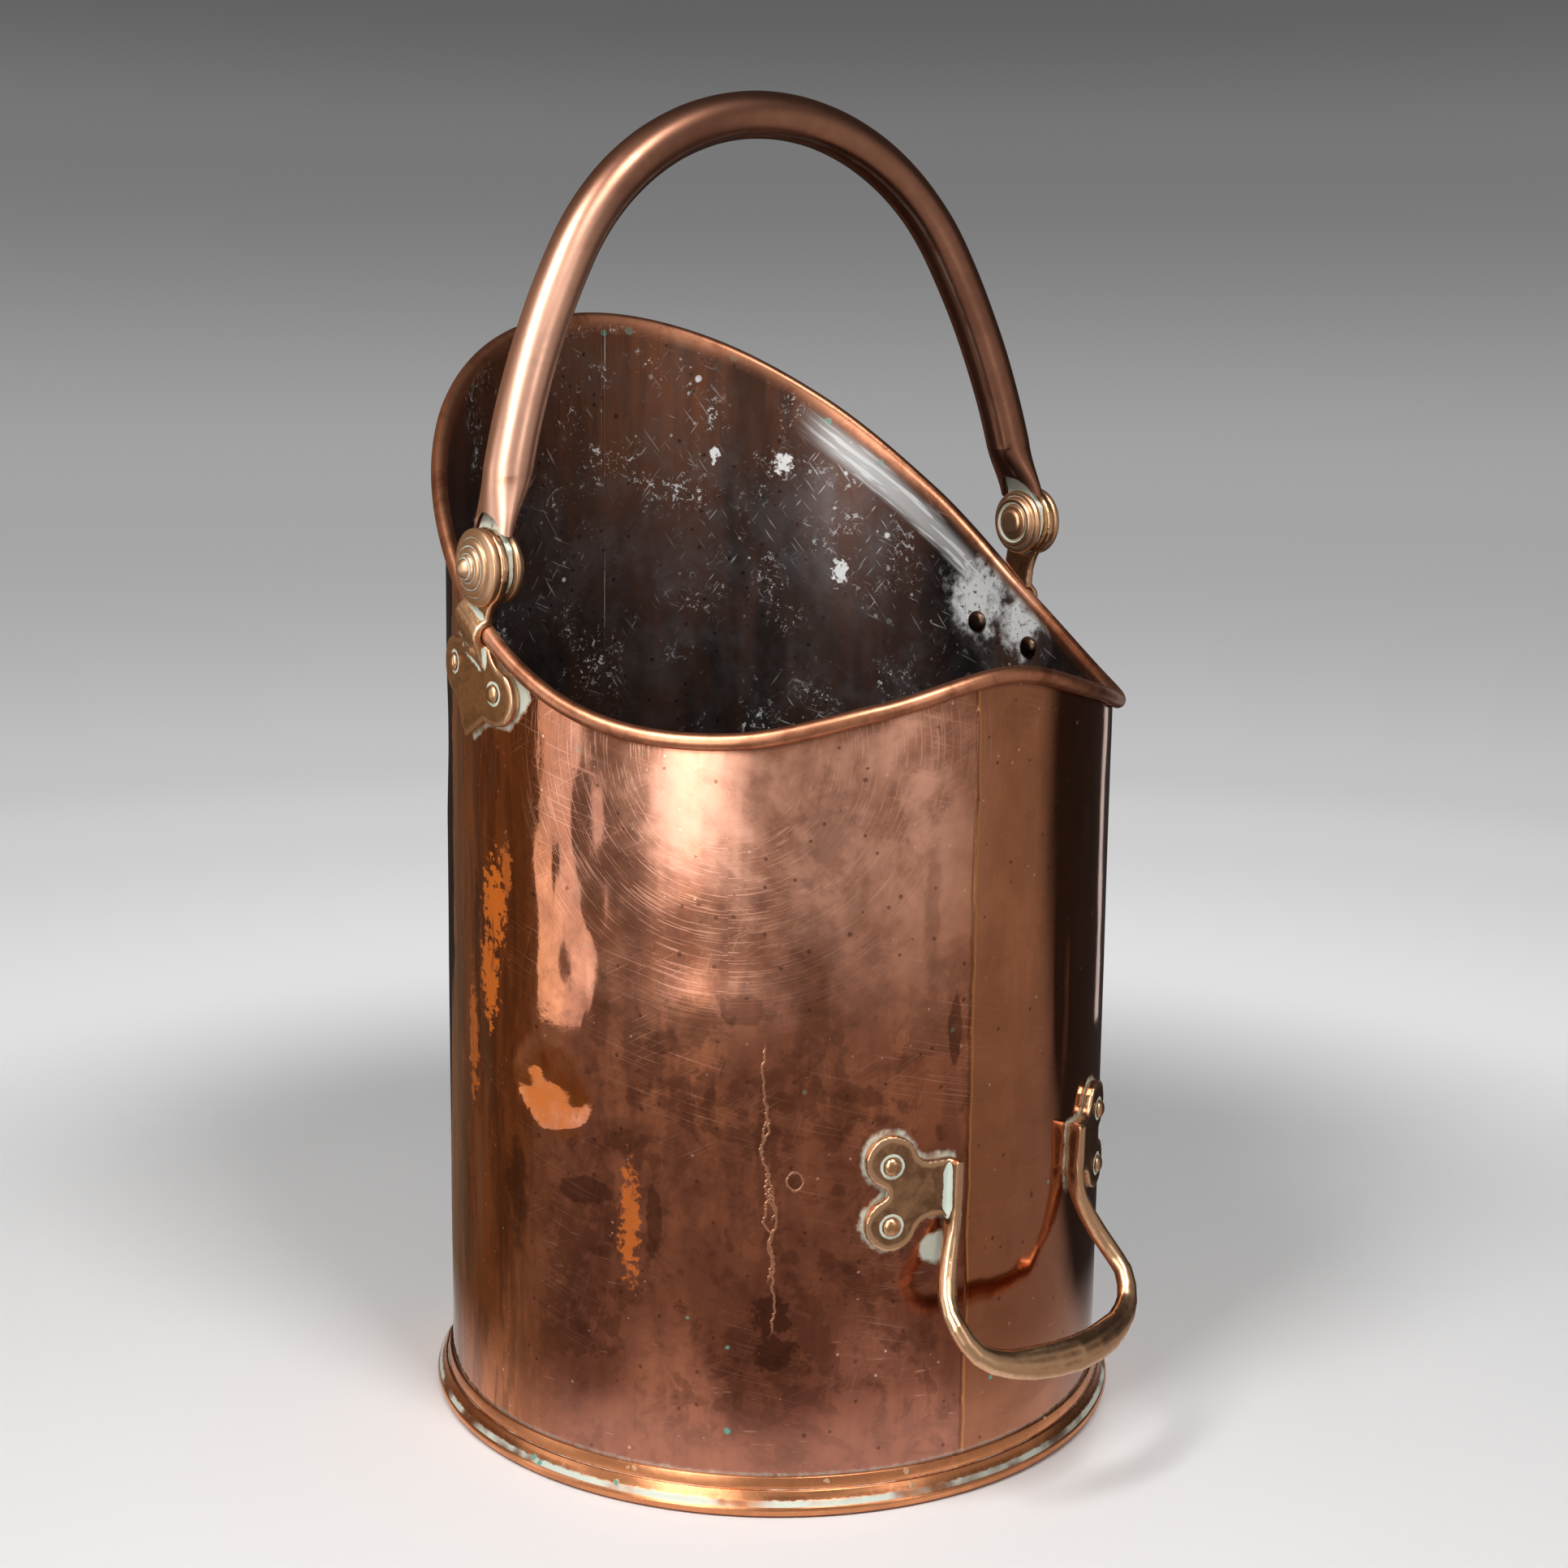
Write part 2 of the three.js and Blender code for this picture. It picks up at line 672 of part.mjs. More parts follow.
// One half of the bail's centre line from the crown down to the pinched end, with the half
// thickness across the hoop's plane and the half width along the pin's turning plane.
function bailStations() {
  const stations = [];
  const crownCount = 8;
  const legCount = 4;
  const pinchCount = 5;
  const place = (reach, rise, lean, thick, wide) => stations.push({ reach, rise, lean, thick, wide });
  for (let i = 0; i <= crownCount; i++) {
    const turn = (crownAngle * i) / crownCount;
    const reach = crownRadius * Math.sin(turn);
    place(reach, crownRise + crownRadius * Math.cos(turn), turn, bailRadius, bailRadius);
  }
  for (let i = 1; i <= legCount; i++) {
    const turn = crownAngle + ((legEnd - crownAngle) * i) / legCount;
    const reach = legCentreReach + legRadius * Math.sin(turn);
    place(reach, legCentreRise + legRadius * Math.cos(turn), turn, bailRadius, bailRadius);
  }
  const outerStart = legFootReach + bailRadius;
  const outerEnd = tongueFace + tongueThickness * 0.5 + pinchHalfThickness;
  for (let i = 1; i <= pinchCount; i++) {
    const t = i / pinchCount;
    const ease = t * t * (3 - 2 * t);
    const thick = bailRadius + (pinchHalfThickness - bailRadius) * ease;
    const wide = bailRadius + (pinchHalfWidth - bailRadius) * ease;
    const outer = outerStart + (outerEnd - outerStart) * t;
    place(outer - thick, pinchStart + (pinchEnd - pinchStart) * t, Math.PI / 2, thick, wide);
  }
  return stations;
}

function bailLoft(wall, sides) {
  const half = bailStations();
  const ring = ({ reach, rise, lean, thick, wide }, side) =>
    Array.from({ length: sides }, (_, i) => {
      const turn = (i / sides) * 2 * Math.PI;
      const out = (thick - wall) * Math.cos(turn);
      const front = (wide - wall) * Math.sin(turn);
      return new THREE.Vector3(side * (reach + out * Math.sin(lean)), front, rise + out * Math.cos(lean));
    });
  const left = half.slice(1).reverse().map((station) => ring(station, -1));
  const right = half.map((station) => ring(station, 1));
  return toSolid(skinOver([...left, ...right], false));
}

// A rod along the pin line in the bail's own frame, used to cut the tube's ends.
function bailCutter(radius, rise, side) {
  const middle = tongueFace + tongueThickness * 0.5;
  const length = 2 * (bailRadius + cutOverrun);
  const rod = new THREE.CylinderGeometry(radius, radius, length, turnedSteps);
  return toSolid(rod.rotateZ(Math.PI / 2).translate(side * middle, 0, rise));
}

function bailTube() {
  let tube = bailLoft(0, barSides).subtract(bailLoft(bailWall, liningSides));
  for (const side of [-1, 1]) {
    tube = tube.subtract(bailCutter(tubeEndRadius, 0, side));
    tube = tube.subtract(bailCutter(archRadius, archHeight, side));
  }
  return toGeometry(tube);
}

// The flat tongue: a round eye on the pin, and a stub that leans in along the pinched tube.
function bailTongue(side) {
  const outline = new THREE.Shape();
  outline.absarc(0, 0, pinchHalfWidth, Math.PI, 2 * Math.PI, false);
  outline.lineTo(pinchHalfWidth, pinchEnd * 0.6);
  outline.lineTo(stubHalfFoot, pinchEnd);
  outline.lineTo(stubHalfTop, stubTop);
  outline.lineTo(-stubHalfTop, stubTop);
  outline.lineTo(-stubHalfFoot, pinchEnd);
  outline.lineTo(-pinchHalfWidth, pinchEnd * 0.6);
  outline.closePath();
  const bore = new THREE.Path();
  bore.absarc(0, 0, boreRadius, 0, 2 * Math.PI, true);
  outline.holes.push(bore);
  const bend = washerRadius + seatGap;
  const strip = new THREE.Shape();
  strip.moveTo(tongueFace, -pinchHalfWidth - cutOverrun);
  strip.lineTo(tongueFace + tongueThickness, -pinchHalfWidth - cutOverrun);
  strip.lineTo(tongueFace + tongueThickness, bend);
  strip.lineTo(legFootReach + tongueThickness * 0.5, pinchStart);
  strip.lineTo(legFootReach - tongueThickness * 0.5, pinchStart);
  strip.lineTo(tongueFace, bend);
  strip.closePath();
  const outward = new THREE.Vector3(1, 0, 0);
  const front = new THREE.Vector3(0, -1, 0);
  const back = new THREE.Vector3(0, 1, 0);
  const up = new THREE.Vector3(0, 0, 1);
  const width = 2 * (pinchHalfWidth + cutOverrun);
  const bar = prism(strip, width, outward, up, front, back.clone().multiplyScalar(width * 0.5));
  const inside = outward.clone().multiplyScalar(bodyRadius * 0.5);
  const plan = prism(outline, bodyRadius, back, up, outward, inside);
  return onSide(toGeometry(toSolid(bar).intersect(toSolid(plan))), side);
}

// Tipping handle

// A plate's outline about its middle, with the fold on the inner side: two lobes and a notch.
function handlePlateOutline(fold) {
  const filletAcross = handleLobeReach - Math.sqrt(
    (handleFillet + handleLobeRadius) ** 2 - (handleNeckHalf + handleFillet - handleLobeRise) ** 2,
  );
  const filletRise = handleNeckHalf + handleFillet;
  const reachPast = handleLobeRadius + handleNotch;
  const notchAcross = handleLobeReach + Math.sqrt(Math.max(0, reachPast ** 2 - handleLobeRise ** 2));
  const toLobe = Math.atan2(handleLobeRise - filletRise, handleLobeReach - filletAcross);
  const toNotch = Math.atan2(-handleLobeRise, notchAcross - handleLobeReach);
  const outline = new THREE.Shape();
  outline.moveTo(fold, -handleNeckHalf);
  outline.lineTo(fold, handleNeckHalf);
  outline.absarc(filletAcross, filletRise, handleFillet, -Math.PI / 2, toLobe, false);
  outline.absarc(handleLobeReach, handleLobeRise, handleLobeRadius, toLobe + Math.PI, toNotch, true);
  outline.absarc(notchAcross, 0, handleNotch, toNotch + Math.PI, Math.PI - toNotch, false);
  outline.absarc(handleLobeReach, -handleLobeRise, handleLobeRadius, -toNotch, -toLobe - Math.PI, true);
  outline.absarc(filletAcross, -filletRise, handleFillet, -toLobe, Math.PI / 2, false);
  outline.closePath();
  return outline;
}

// The bar's path from the web's top round to the middle of the grip, in shares of the leg's
// reach to the side, of the way out to the grip and of the way down to it.
const barPathShares = [
  [0.736, 0, 0], [0.736, 0, 0.14], [0.736, 0, 0.28], [0.78, 0.048, 0.412], [0.893, 0.166, 0.576],
  [0.985, 0.32, 0.705], [0.998, 0.5, 0.795], [0.91, 0.66, 0.905], [0.72, 0.79, 0.968],
  [0.4, 0.92, 0.995], [0, 1, 1],
];
// How far the section has gone from the flat web to the round bar, and from that to the flat grip.
const barFormShares = [
  [0, 0], [0, 0], [0, 0], [0.6, 0], [1, 0], [1, 0], [1, 0], [1, 0.2], [1, 0.5], [1, 0.9], [1, 1],
];

// The bar's centre line and half sizes in and across the loop's plane, from end to end.
function barStations() {
  const webFoot = Math.sqrt(bodyRadius ** 2 - webReach ** 2) + seatGap;
  const webOut = webFoot + webDepth * 0.55;
  const top = handleHeight + handleNeckHalf;
  const drop = handleNeckHalf + gripDrop;
  const out = bodyRadius + gripStand - webOut;
  const placed = ([side, away, down]) =>
    new THREE.Vector3(legReach * side, -webOut - out * away, top - drop * down);
  const right = barPathShares.map(placed);
  const left = right.slice(0, -1).reverse().map((p) => p.clone().setX(-p.x));
  const path = new THREE.CatmullRomCurve3([...right, ...left]);
  const sized = ([rounded, flattened]) => {
    const width = webThickness + (barWidth - webThickness) * rounded + (gripWidth - barWidth) * flattened;
    const depth = webDepth + (barDepth - webDepth) * rounded;
    return new THREE.Vector3(width * 0.5, depth * 0.5, rounded);
  };
  const sizes = barFormShares.map(sized);
  const bothWays = [...sizes, ...sizes.slice(0, -1).reverse()];
  const sizeCurve = new THREE.CatmullRomCurve3(bothWays, false, 'catmullrom', 0);
  // The whole loop is turned in its own plane about the middle between the plates.
  const middle = new THREE.Vector3(0, 0, handleHeight);
  const outOfPlane = new THREE.Vector3(0, 1, 0);
  return Array.from({ length: barSpans + 1 }, (_, i) => ({
    point: path.getPoint(i / barSpans).sub(middle).applyAxisAngle(outOfPlane, handleSkew).add(middle),
    size: sizeCurve.getPoint(i / barSpans),
  }));
}

function barLoft() {
  const stations = barStations();
  const facing = new THREE.Vector3(0, -Math.cos(Math.PI / 6), Math.sin(Math.PI / 6));
  const rings = stations.map(({ point, size }, i) => {
    const before = stations[Math.max(i - 1, 0)].point;
    const after = stations[Math.min(i + 1, stations.length - 1)].point;
    const along = after.clone().sub(before).normalize();
    const outward = facing.clone().addScaledVector(along, -facing.dot(along)).normalize();
    const inPlane = new THREE.Vector3().crossVectors(along, outward);
    return Array.from({ length: barSides }, (_, j) => {
      const turn = ((j + 0.5) / barSides) * 2 * Math.PI;
      const [c, s] = [Math.cos(turn), Math.sin(turn)];
      const corner = 1 / Math.max(Math.abs(c), Math.abs(s)) - 1;
      const square = 1 + corner * Math.max(0, 1 - 1.6 * size.z);
      const sideways = inPlane.clone().multiplyScalar(size.x * c * square);
      return point.clone().add(sideways).addScaledVector(outward, size.y * s * square);
    });
  });
  return toSolid(skinOver(rings, false));
}

function tippingHandle() {
  const middleReach = bodyRadius + plateThickness * 0.5;
  const plateAngle = arcAngle(handlePlateReach);
  const fold = middleReach * Math.sin(Math.asin(webReach / middleReach) - plateAngle);
  const depth = 2 * (plateThickness + cutOverrun + bodyRadius * (1 - Math.cos(plateAngle)));
  const reach = handleLobeRise + handleLobeRadius + cutOverrun;
  const out = roundBody(1, plateAngle, 0);
  const across = new THREE.Vector3(-out.y, out.x, 0);
  const up = new THREE.Vector3(0, 0, 1);
  const corner = out.clone().multiplyScalar(bodyRadius - depth * 0.5);
  const cut = prism(handlePlateOutline(fold), depth, across, up, out, corner);
  const shell = plateShell(-reach, reach);
  let whole = barLoft();
  for (const side of [-1, 1]) {
    const plate = shell.intersect(toSolid(onSide(cut, side)));
    whole = whole.add(plate.translate(0, 0, handlePlateHeight(side)));
  }
  for (const side of [-1, 1]) {
    for (const place of handleRivetPlaces(side)) {
      whole = whole.subtract(rivetDrill({ ...place, angle: place.angle - handleTurn }));
    }
  }
  return toGeometry(whole);
}

// Assembly

const bin = new THREE.Group();
bin.add(named('body_wall', bodyWall(), copper));
bin.add(named('rim_wire', rimWire(), darkIron));
bin.add(named('base_pan', basePan(), brownCopper));
bin.add(named('foot_ring', footRing(), copper));
bin.add(named('foot_wire', footWire(), darkIron));

const handle = named('tip_handle', tippingHandle(), bronze);
handle.rotation.z = handleTurn;
bin.add(handle);

const pivots = new THREE.Group();
pivots.applyMatrix4(pivotFrame);
bin.add(pivots);
const bail = new THREE.Group();
bail.rotation.x = -bailLean;
pivots.add(bail);
bail.add(named('bail_tube', bailTube(), copper));

for (const [side, word] of [[-1, 'left'], [1, 'right']]) {
  bin.add(named(`bracket_${word}`, bracket(side), bronze));
  for (const place of bracketRivetPlaces(side)) {
    bin.add(rivet(`bracket_rivet_${word}_${place.label}`, place));
  }
  for (const place of handleRivetPlaces(side)) {
    bin.add(rivet(`handle_rivet_${word}_${place.label}`, place));
  }
  const pinHead = washerFace - washerHeight - seatGap;
  pivots.add(onPin(`pivot_pin_${word}`, pinGeometry(), bronze, pinHead, side, 1));
  pivots.add(onPin(`pivot_knob_${word}`, knobGeometry(), bronze, knobFace, side, 1));
  pivots.add(onPin(`pivot_washer_${word}`, washerGeometry(), bronze, washerFace, side, -1));
  bail.add(named(`bail_tongue_${word}`, bailTongue(side), bronze));
}

// The origin is on the floor, under the middle of the whole object.
bin.updateMatrixWorld(true);
const box = new THREE.Box3().setFromObject(bin, true);
const middle = box.getCenter(new THREE.Vector3());
bin.position.set(-middle.x, -middle.y, -box.min.z);

export default bin;
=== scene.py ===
# %% [markdown]
# The coal bin is a round copper body with a tall pouring hood, a swinging bail and a tipping
# handle. Every size comes from the CAD frame, which is loaded first and never changed. The
# detailed pieces below are built over its solids and then stand for them in the picture.

import math

import bmesh
import bpy
import numpy as np
from mathutils import Matrix, Vector
from mathutils.bvhtree import BVHTree


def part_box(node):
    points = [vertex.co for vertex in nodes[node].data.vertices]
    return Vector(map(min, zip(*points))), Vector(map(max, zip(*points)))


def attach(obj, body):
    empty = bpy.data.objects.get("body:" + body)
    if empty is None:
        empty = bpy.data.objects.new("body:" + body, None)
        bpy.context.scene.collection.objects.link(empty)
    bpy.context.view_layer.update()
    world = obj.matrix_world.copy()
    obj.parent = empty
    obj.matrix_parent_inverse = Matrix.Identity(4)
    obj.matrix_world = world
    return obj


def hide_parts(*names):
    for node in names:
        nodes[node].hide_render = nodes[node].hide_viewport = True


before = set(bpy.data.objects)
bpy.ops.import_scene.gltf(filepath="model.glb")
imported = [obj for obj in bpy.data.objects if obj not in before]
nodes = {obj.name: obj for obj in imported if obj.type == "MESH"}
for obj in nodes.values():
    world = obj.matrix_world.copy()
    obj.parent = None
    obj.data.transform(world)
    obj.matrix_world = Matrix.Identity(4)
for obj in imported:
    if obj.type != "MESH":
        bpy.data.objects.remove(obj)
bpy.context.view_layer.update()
print("CAD nodes:", len(nodes))

# %% [markdown]
# The body's own axis isn't the middle of the whole object, because the tipping handle sticks
# out at the front. The round base pan tells where the axis is.

# %% The body's axis and main sizes
MM = 0.001
pan_low, pan_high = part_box("base_pan")
axis_y = (pan_low.y + pan_high.y) / 2
body_radius = 150 * MM
sheet = 1.2 * MM
seat_gap = 0.3 * MM
bead_radius = 3.5 * MM
bead_centre = body_radius + bead_radius - sheet
print("body axis at y =", round(axis_y, 5))


def round_body(radius, angle, height):
    """Points at an angle from the front (-Y) towards the right (+X), in the row's frame."""
    return np.stack(np.broadcast_arrays(
        radius * np.sin(angle), axis_y - radius * np.cos(angle), height), -1)


# %% [markdown]
# Small helpers keep the node trees short. A Value is a node's output that can stand in a sum:
# each operator adds one math node to its tree. The others add nodes and fill their sockets, and
# make smooth steps, bands and noise. Anywhere, a plain number may stand for a Value.

# %% Node helpers
VECTOR = "ShaderNodeVectorMath"


class Value:
    """A node's output, which sums can be written with."""

    def __init__(self, socket):
        self.socket, self.tree = socket, socket.id_data

    def __add__(self, other):
        return reckon("ADD", self, other)

    def __mul__(self, other):
        return reckon("MULTIPLY", self, other)

    def __sub__(self, other):
        return reckon("SUBTRACT", self, other)

    def __rsub__(self, other):
        return reckon("SUBTRACT", other, self)

    def __truediv__(self, other):
        return reckon("DIVIDE", self, other)

    def __rtruediv__(self, other):
        return reckon("DIVIDE", other, self)

    def __abs__(self):
        return reckon("ABSOLUTE", self)

    __radd__, __rmul__ = __add__, __mul__


def feed(socket, value):
    """Links a Value to a socket, or writes a plain value into it."""
    if isinstance(value, Value):
        value.tree.links.new(value.socket, socket)
    elif socket.type == "RGBA":
        socket.default_value = (*value, 1.0)
    else:
        socket.default_value = value


def add_node(tree, kind, inputs=None, **settings):
    made = tree.nodes.new(kind)
    for key, value in settings.items():
        setattr(made, key, value)
    for key, value in (inputs or {}).items():
        feed(made.inputs[key], value)
    return made


def put(tree, kind, inputs=None, **settings):
    """Adds a node and gives its first output."""
    return Value(add_node(tree, kind, inputs, **settings).outputs[0])


def reckon(operation, *values, kind="ShaderNodeMath"):
    tree = next(value.tree for value in values if isinstance(value, Value))
    return put(tree, kind, dict(enumerate(values)), operation=operation)


def clamped(value):
    """Keeps the last sum between 0 and 1."""
    value.socket.node.use_clamp = True
    return value


def most(*masks):
    found = masks[0]
    for mask in masks[1:]:
        found = reckon("MAXIMUM", found, mask)
    return found


def hypot(across, up):
    return reckon("SQRT", reckon("POWER", across, 2.0) + reckon("POWER", up, 2.0))


def smooth_step(value, low, high, start=0.0, end=1.0):
    limits = {"From Min": low, "From Max": high, "To Min": start, "To Max": end}
    return put(value.tree, "ShaderNodeMapRange", {"Value": value, **limits},
               interpolation_type="SMOOTHSTEP")


def between(value, start, full, fading, gone):
    """A mask that rises from the start to full, stays, and fades until it is gone."""
    return smooth_step(value, start, full) * smooth_step(value, gone, fading)


def split(vector):
    parts = add_node(vector.tree, "ShaderNodeSeparateXYZ", {"Vector": vector}).outputs
    return [Value(part) for part in parts]


def joined(x, y, z):
    tree = next(value.tree for value in (x, y, z) if isinstance(value, Value))
    return put(tree, "ShaderNodeCombineXYZ", {"X": x, "Y": y, "Z": z})


def squeezed(vector, height):
    """The vector with its height made smaller, so that a pattern is drawn out upright."""
    return reckon("MULTIPLY", vector, (1.0, 1.0, height), kind=VECTOR)


def noise(vector, scale, detail=2.0, roughness=0.5, distortion=0.0):
    return put(vector.tree, "ShaderNodeTexNoise", {
        "Vector": vector, "Scale": scale, "Detail": detail, "Roughness": roughness,
        "Distortion": distortion})


def cloud(vector, size, detail=4.0, roughness=0.55):
    """Noise whose features are about the given size in metres."""
    return noise(vector, 1 / size, detail, roughness)


# %% [markdown]
# A node group is used again and again with other numbers. A new one is described by its inputs:
# a number says the input's first value, and a word says another kind of socket.

# %% Node groups
SHADER, GEOMETRY = "ShaderNodeTree", "GeometryNodeTree"
POINT, SHAPE, FINISH = "NodeSocketVector", "NodeSocketGeometry", "NodeSocketMaterial"


def new_tree(name, kind, output, **inputs):
    """An empty group: the tree, its inputs in their order, and the socket of its one result."""
    tree = bpy.data.node_groups.new(name, kind)
    for label, value in inputs.items():
        number = "NodeSocketInt" if isinstance(value, int) else "NodeSocketFloat"
        named = isinstance(value, str)
        socket = tree.interface.new_socket(label.replace("_", " "), in_out="INPUT",
                                           socket_type=value if named else number)
        if not named:
            socket.default_value = value
    output_kind = SHAPE if output == "Geometry" else "NodeSocketFloat"
    tree.interface.new_socket(output, in_out="OUTPUT", socket_type=output_kind)
    start, end = tree.nodes.new("NodeGroupInput"), tree.nodes.new("NodeGroupOutput")
    return tree, [Value(socket) for socket in start.outputs[:len(inputs)]], end.inputs[0]


def use(group, *values):
    """The result of a group whose inputs are fed in their order."""
    tree = values[0].tree
    made = add_node(tree, tree.bl_idname.replace("NodeTree", "NodeGroup"), node_tree=group)
    for socket, value in zip(made.inputs, values):
        feed(socket, value)
    return Value(made.outputs[0])


# %% [markdown]
# Old copper is never one colour. Its marks come back on every piece: clouds of tarnish, fine
# scratches from polishing, ragged stains and tiny specks of verdigris. Each effect is one shader
# node group that gives a mask, so that all finishes share it and only the numbers differ.

# %% Shared finish groups
def tarnish_group():
    tree, (vector, scale, cover, softness), result = new_tree(
        "Tarnish clouds", SHADER, "Mask", Vector=POINT, Scale=25.0, Cover=0.5, Softness=0.06)
    small, large = noise(vector, scale * 4.3, 5.0, 0.6, 0.4), noise(vector, scale, 9.0, 0.62, 0.7)
    both = small * 0.3 + large * 0.7
    middle = cover * -0.36 + 0.68
    feed(result, smooth_step(both, middle - softness, middle + softness))
    return tree


def scratch_group():
    tree, (vector, turn, fineness, length, cover), result = new_tree(
        "Fine scratches", SHADER, "Mask", Vector=POINT, Turn=0.0, Fineness=900.0, Length=40.0,
        Cover=0.3)
    along, across, _ = split(put(tree, "ShaderNodeVectorRotate", {"Vector": vector, "Angle": turn},
                                 rotation_type="Z_AXIS"))
    lines = noise(joined(along * (fineness / length), across * fineness, 0.0), 1.0)
    limit = cover * -0.2 + 0.72
    feed(result, smooth_step(lines, limit, limit + 0.06))
    return tree


def stain_group():
    tree, given, result = new_tree(
        "Ragged stain", SHADER, "Mask", Arc=0.0, Height=0.0, Place=0.0, Level=0.0, Half_width=0.01,
        Half_height=0.01, Ragged=0.8, Edge=0.15, Fineness=110.0)
    arc, height, place, level, half_width, half_height, ragged, edge, fineness = given
    torn = noise(joined(arc, height, 0.0), fineness, 5.0, 0.62) - 0.5
    away = hypot((arc - place) / half_width, (height - level) / half_height)
    feed(result, smooth_step(torn * ragged + away, 1.0 - edge, 1.0, 1.0, 0.0))
    return tree


def speck_group():
    tree, (vector, scale, size, cover), result = new_tree(
        "Specks", SHADER, "Mask", Vector=POINT, Scale=200.0, Size=0.25, Cover=0.1)
    cells = add_node(tree, "ShaderNodeTexVoronoi", {"Vector": vector, "Scale": scale}).outputs
    away = noise(vector, scale * 1.7, 3.0) * 0.3 + Value(cells["Distance"])
    edge = size + 0.15
    near = smooth_step(away, edge, edge + 0.08, 1.0, 0.0)
    pick = put(tree, "ShaderNodeSeparateColor", {"Color": Value(cells["Color"])})
    feed(result, near * reckon("LESS_THAN", pick, cover))
    return tree


tarnish, scratches, stains, specks = tarnish_group(), scratch_group(), stain_group(), speck_group()
print("shared finish groups:", [group.name for group in (tarnish, scratches, stains, specks)])


# %% [markdown]
# A finish is a Principled shader fed by masks. These helpers start a material, lay tones or
# numbers over each other by masks, and close a material with its colour, roughness, metalness
# and relief.

# %% Material helpers
def mixed(share, first, second):
    """Between two numbers or two colours, by the share of the second."""
    number = first.socket.type == "VALUE" if isinstance(first, Value) else isinstance(first, float)
    kind, low, high, output = ("FLOAT", 2, 3, 0) if number else ("RGBA", 6, 7, 2)
    made = add_node(share.tree, "ShaderNodeMix", data_type=kind)
    for index, value in ((0, share), (low, first), (high, second)):
        feed(made.inputs[index], value)
    return Value(made.outputs[output])


def layered(found, *layers):
    """A tone or number under several layers, each given as mask, strength and tone or number."""
    for mask, strength, layer in layers:
        found = mixed(mask * strength, found, layer)
    return found


def attributes(tree, *names):
    return [Value(add_node(tree, "ShaderNodeAttribute", attribute_name=name).outputs["Fac"])
            for name in names]


def new_finish(name):
    material = bpy.data.materials.new(name)
    material.use_nodes = True
    tree = material.node_tree
    place = add_node(tree, "ShaderNodeTexCoord").outputs["Object"]
    return material, tree, Value(place)


def close_finish(tree, colour, roughness, metallic, relief):
    bump = put(tree, "ShaderNodeBump", {"Height": relief, "Distance": 1.0, "Strength": 1.0})
    shader = tree.nodes["Principled BSDF"].inputs
    for label, value in (("Base Color", colour), ("Roughness", roughness), ("Metallic", metallic),
                         ("Normal", bump)):
        feed(shader[label], value)


# %% [markdown]
# Mesh helpers: one makes an object from arrays of points and faces, with named numbers on its
# points for the materials to read. Another turns live modifiers into a plain mesh.

# %% Mesh helpers
def link_piece(name, mesh):
    piece = bpy.data.objects.new(name, mesh)
    bpy.context.scene.collection.objects.link(piece)
    return piece


def write_numbers(mesh, name, values):
    layer = mesh.attributes.get(name) or mesh.attributes.new(name, "FLOAT", "POINT")
    layer.data.foreach_set("value", np.ascontiguousarray(values, np.float32).ravel())


def write_vectors(mesh, name, values):
    layer = mesh.attributes.new(name, "FLOAT_VECTOR", "POINT")
    layer.data.foreach_set("vector", np.ascontiguousarray(values, np.float32).ravel())


def points_of(mesh):
    points = np.zeros(len(mesh.vertices) * 3, np.float32)
    mesh.vertices.foreach_get("co", points)
    return points.reshape(-1, 3).astype(float)


def face_outward(mesh):
    """Joins doubled points, closes the poles and turns every face of a closed shell outward."""
    shell = bmesh.new()
    shell.from_mesh(mesh)
    bmesh.ops.remove_doubles(shell, verts=shell.verts, dist=1e-6)
    bmesh.ops.recalc_face_normals(shell, faces=shell.faces)
    if shell.calc_volume(signed=True) < 0:
        bmesh.ops.reverse_faces(shell, faces=shell.faces)
    shell.to_mesh(mesh)
    shell.free()


def smooth_shading(mesh, sharp_above=40):
    """Smooth faces, with a sharp edge where two faces meet at more than an angle in degrees."""
    mesh.shade_smooth()
    mesh.set_sharp_from_angle(angle=math.radians(sharp_above))


def settle(piece):
    """Replaces a piece's live modifiers by the plain mesh that they give."""
    graph = bpy.context.evaluated_depsgraph_get()
    mesh = bpy.data.meshes.new_from_object(piece.evaluated_get(graph))
    piece.modifiers.clear()
    piece.data = mesh
    mesh.name = piece.name
    return mesh


def add_tree(piece, tree, **inputs):
    """Puts a Geometry Nodes tree on a piece and sets its inputs by their identifiers."""
    modifier = piece.modifiers.new(tree.name, "NODES")
    modifier.node_group = tree
    found = {item.name: item.identifier for item in tree.interface.items_tree
             if item.item_type == "SOCKET" and item.in_out == "INPUT"}
    for label, value in inputs.items():
        modifier[found[label.replace("_", " ")]] = value


def hand_over(piece, body, slot, *replaced):
    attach(piece, body)
    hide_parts(*replaced)
    triangles = sum(len(face.vertices) - 2 for face in piece.data.polygons)
    print(piece.name, "on", body, "with", triangles, "triangles, for", ", ".join(replaced))


# %% [markdown]
# The rim's height follows the same nine shares as the CAD: low dips beside the front, a small
# peak in the middle, and the tall hood at the back, joined by a Catmull-Rom curve.

# %% The rim's height
rim_dip_height = 319.5 * MM
hood_rise = 167.5 * MM
rim_rise_shares = np.array([0.142, 0.07, 0, 0.035, 0.209, 0.496, 0.76, 0.937, 1])


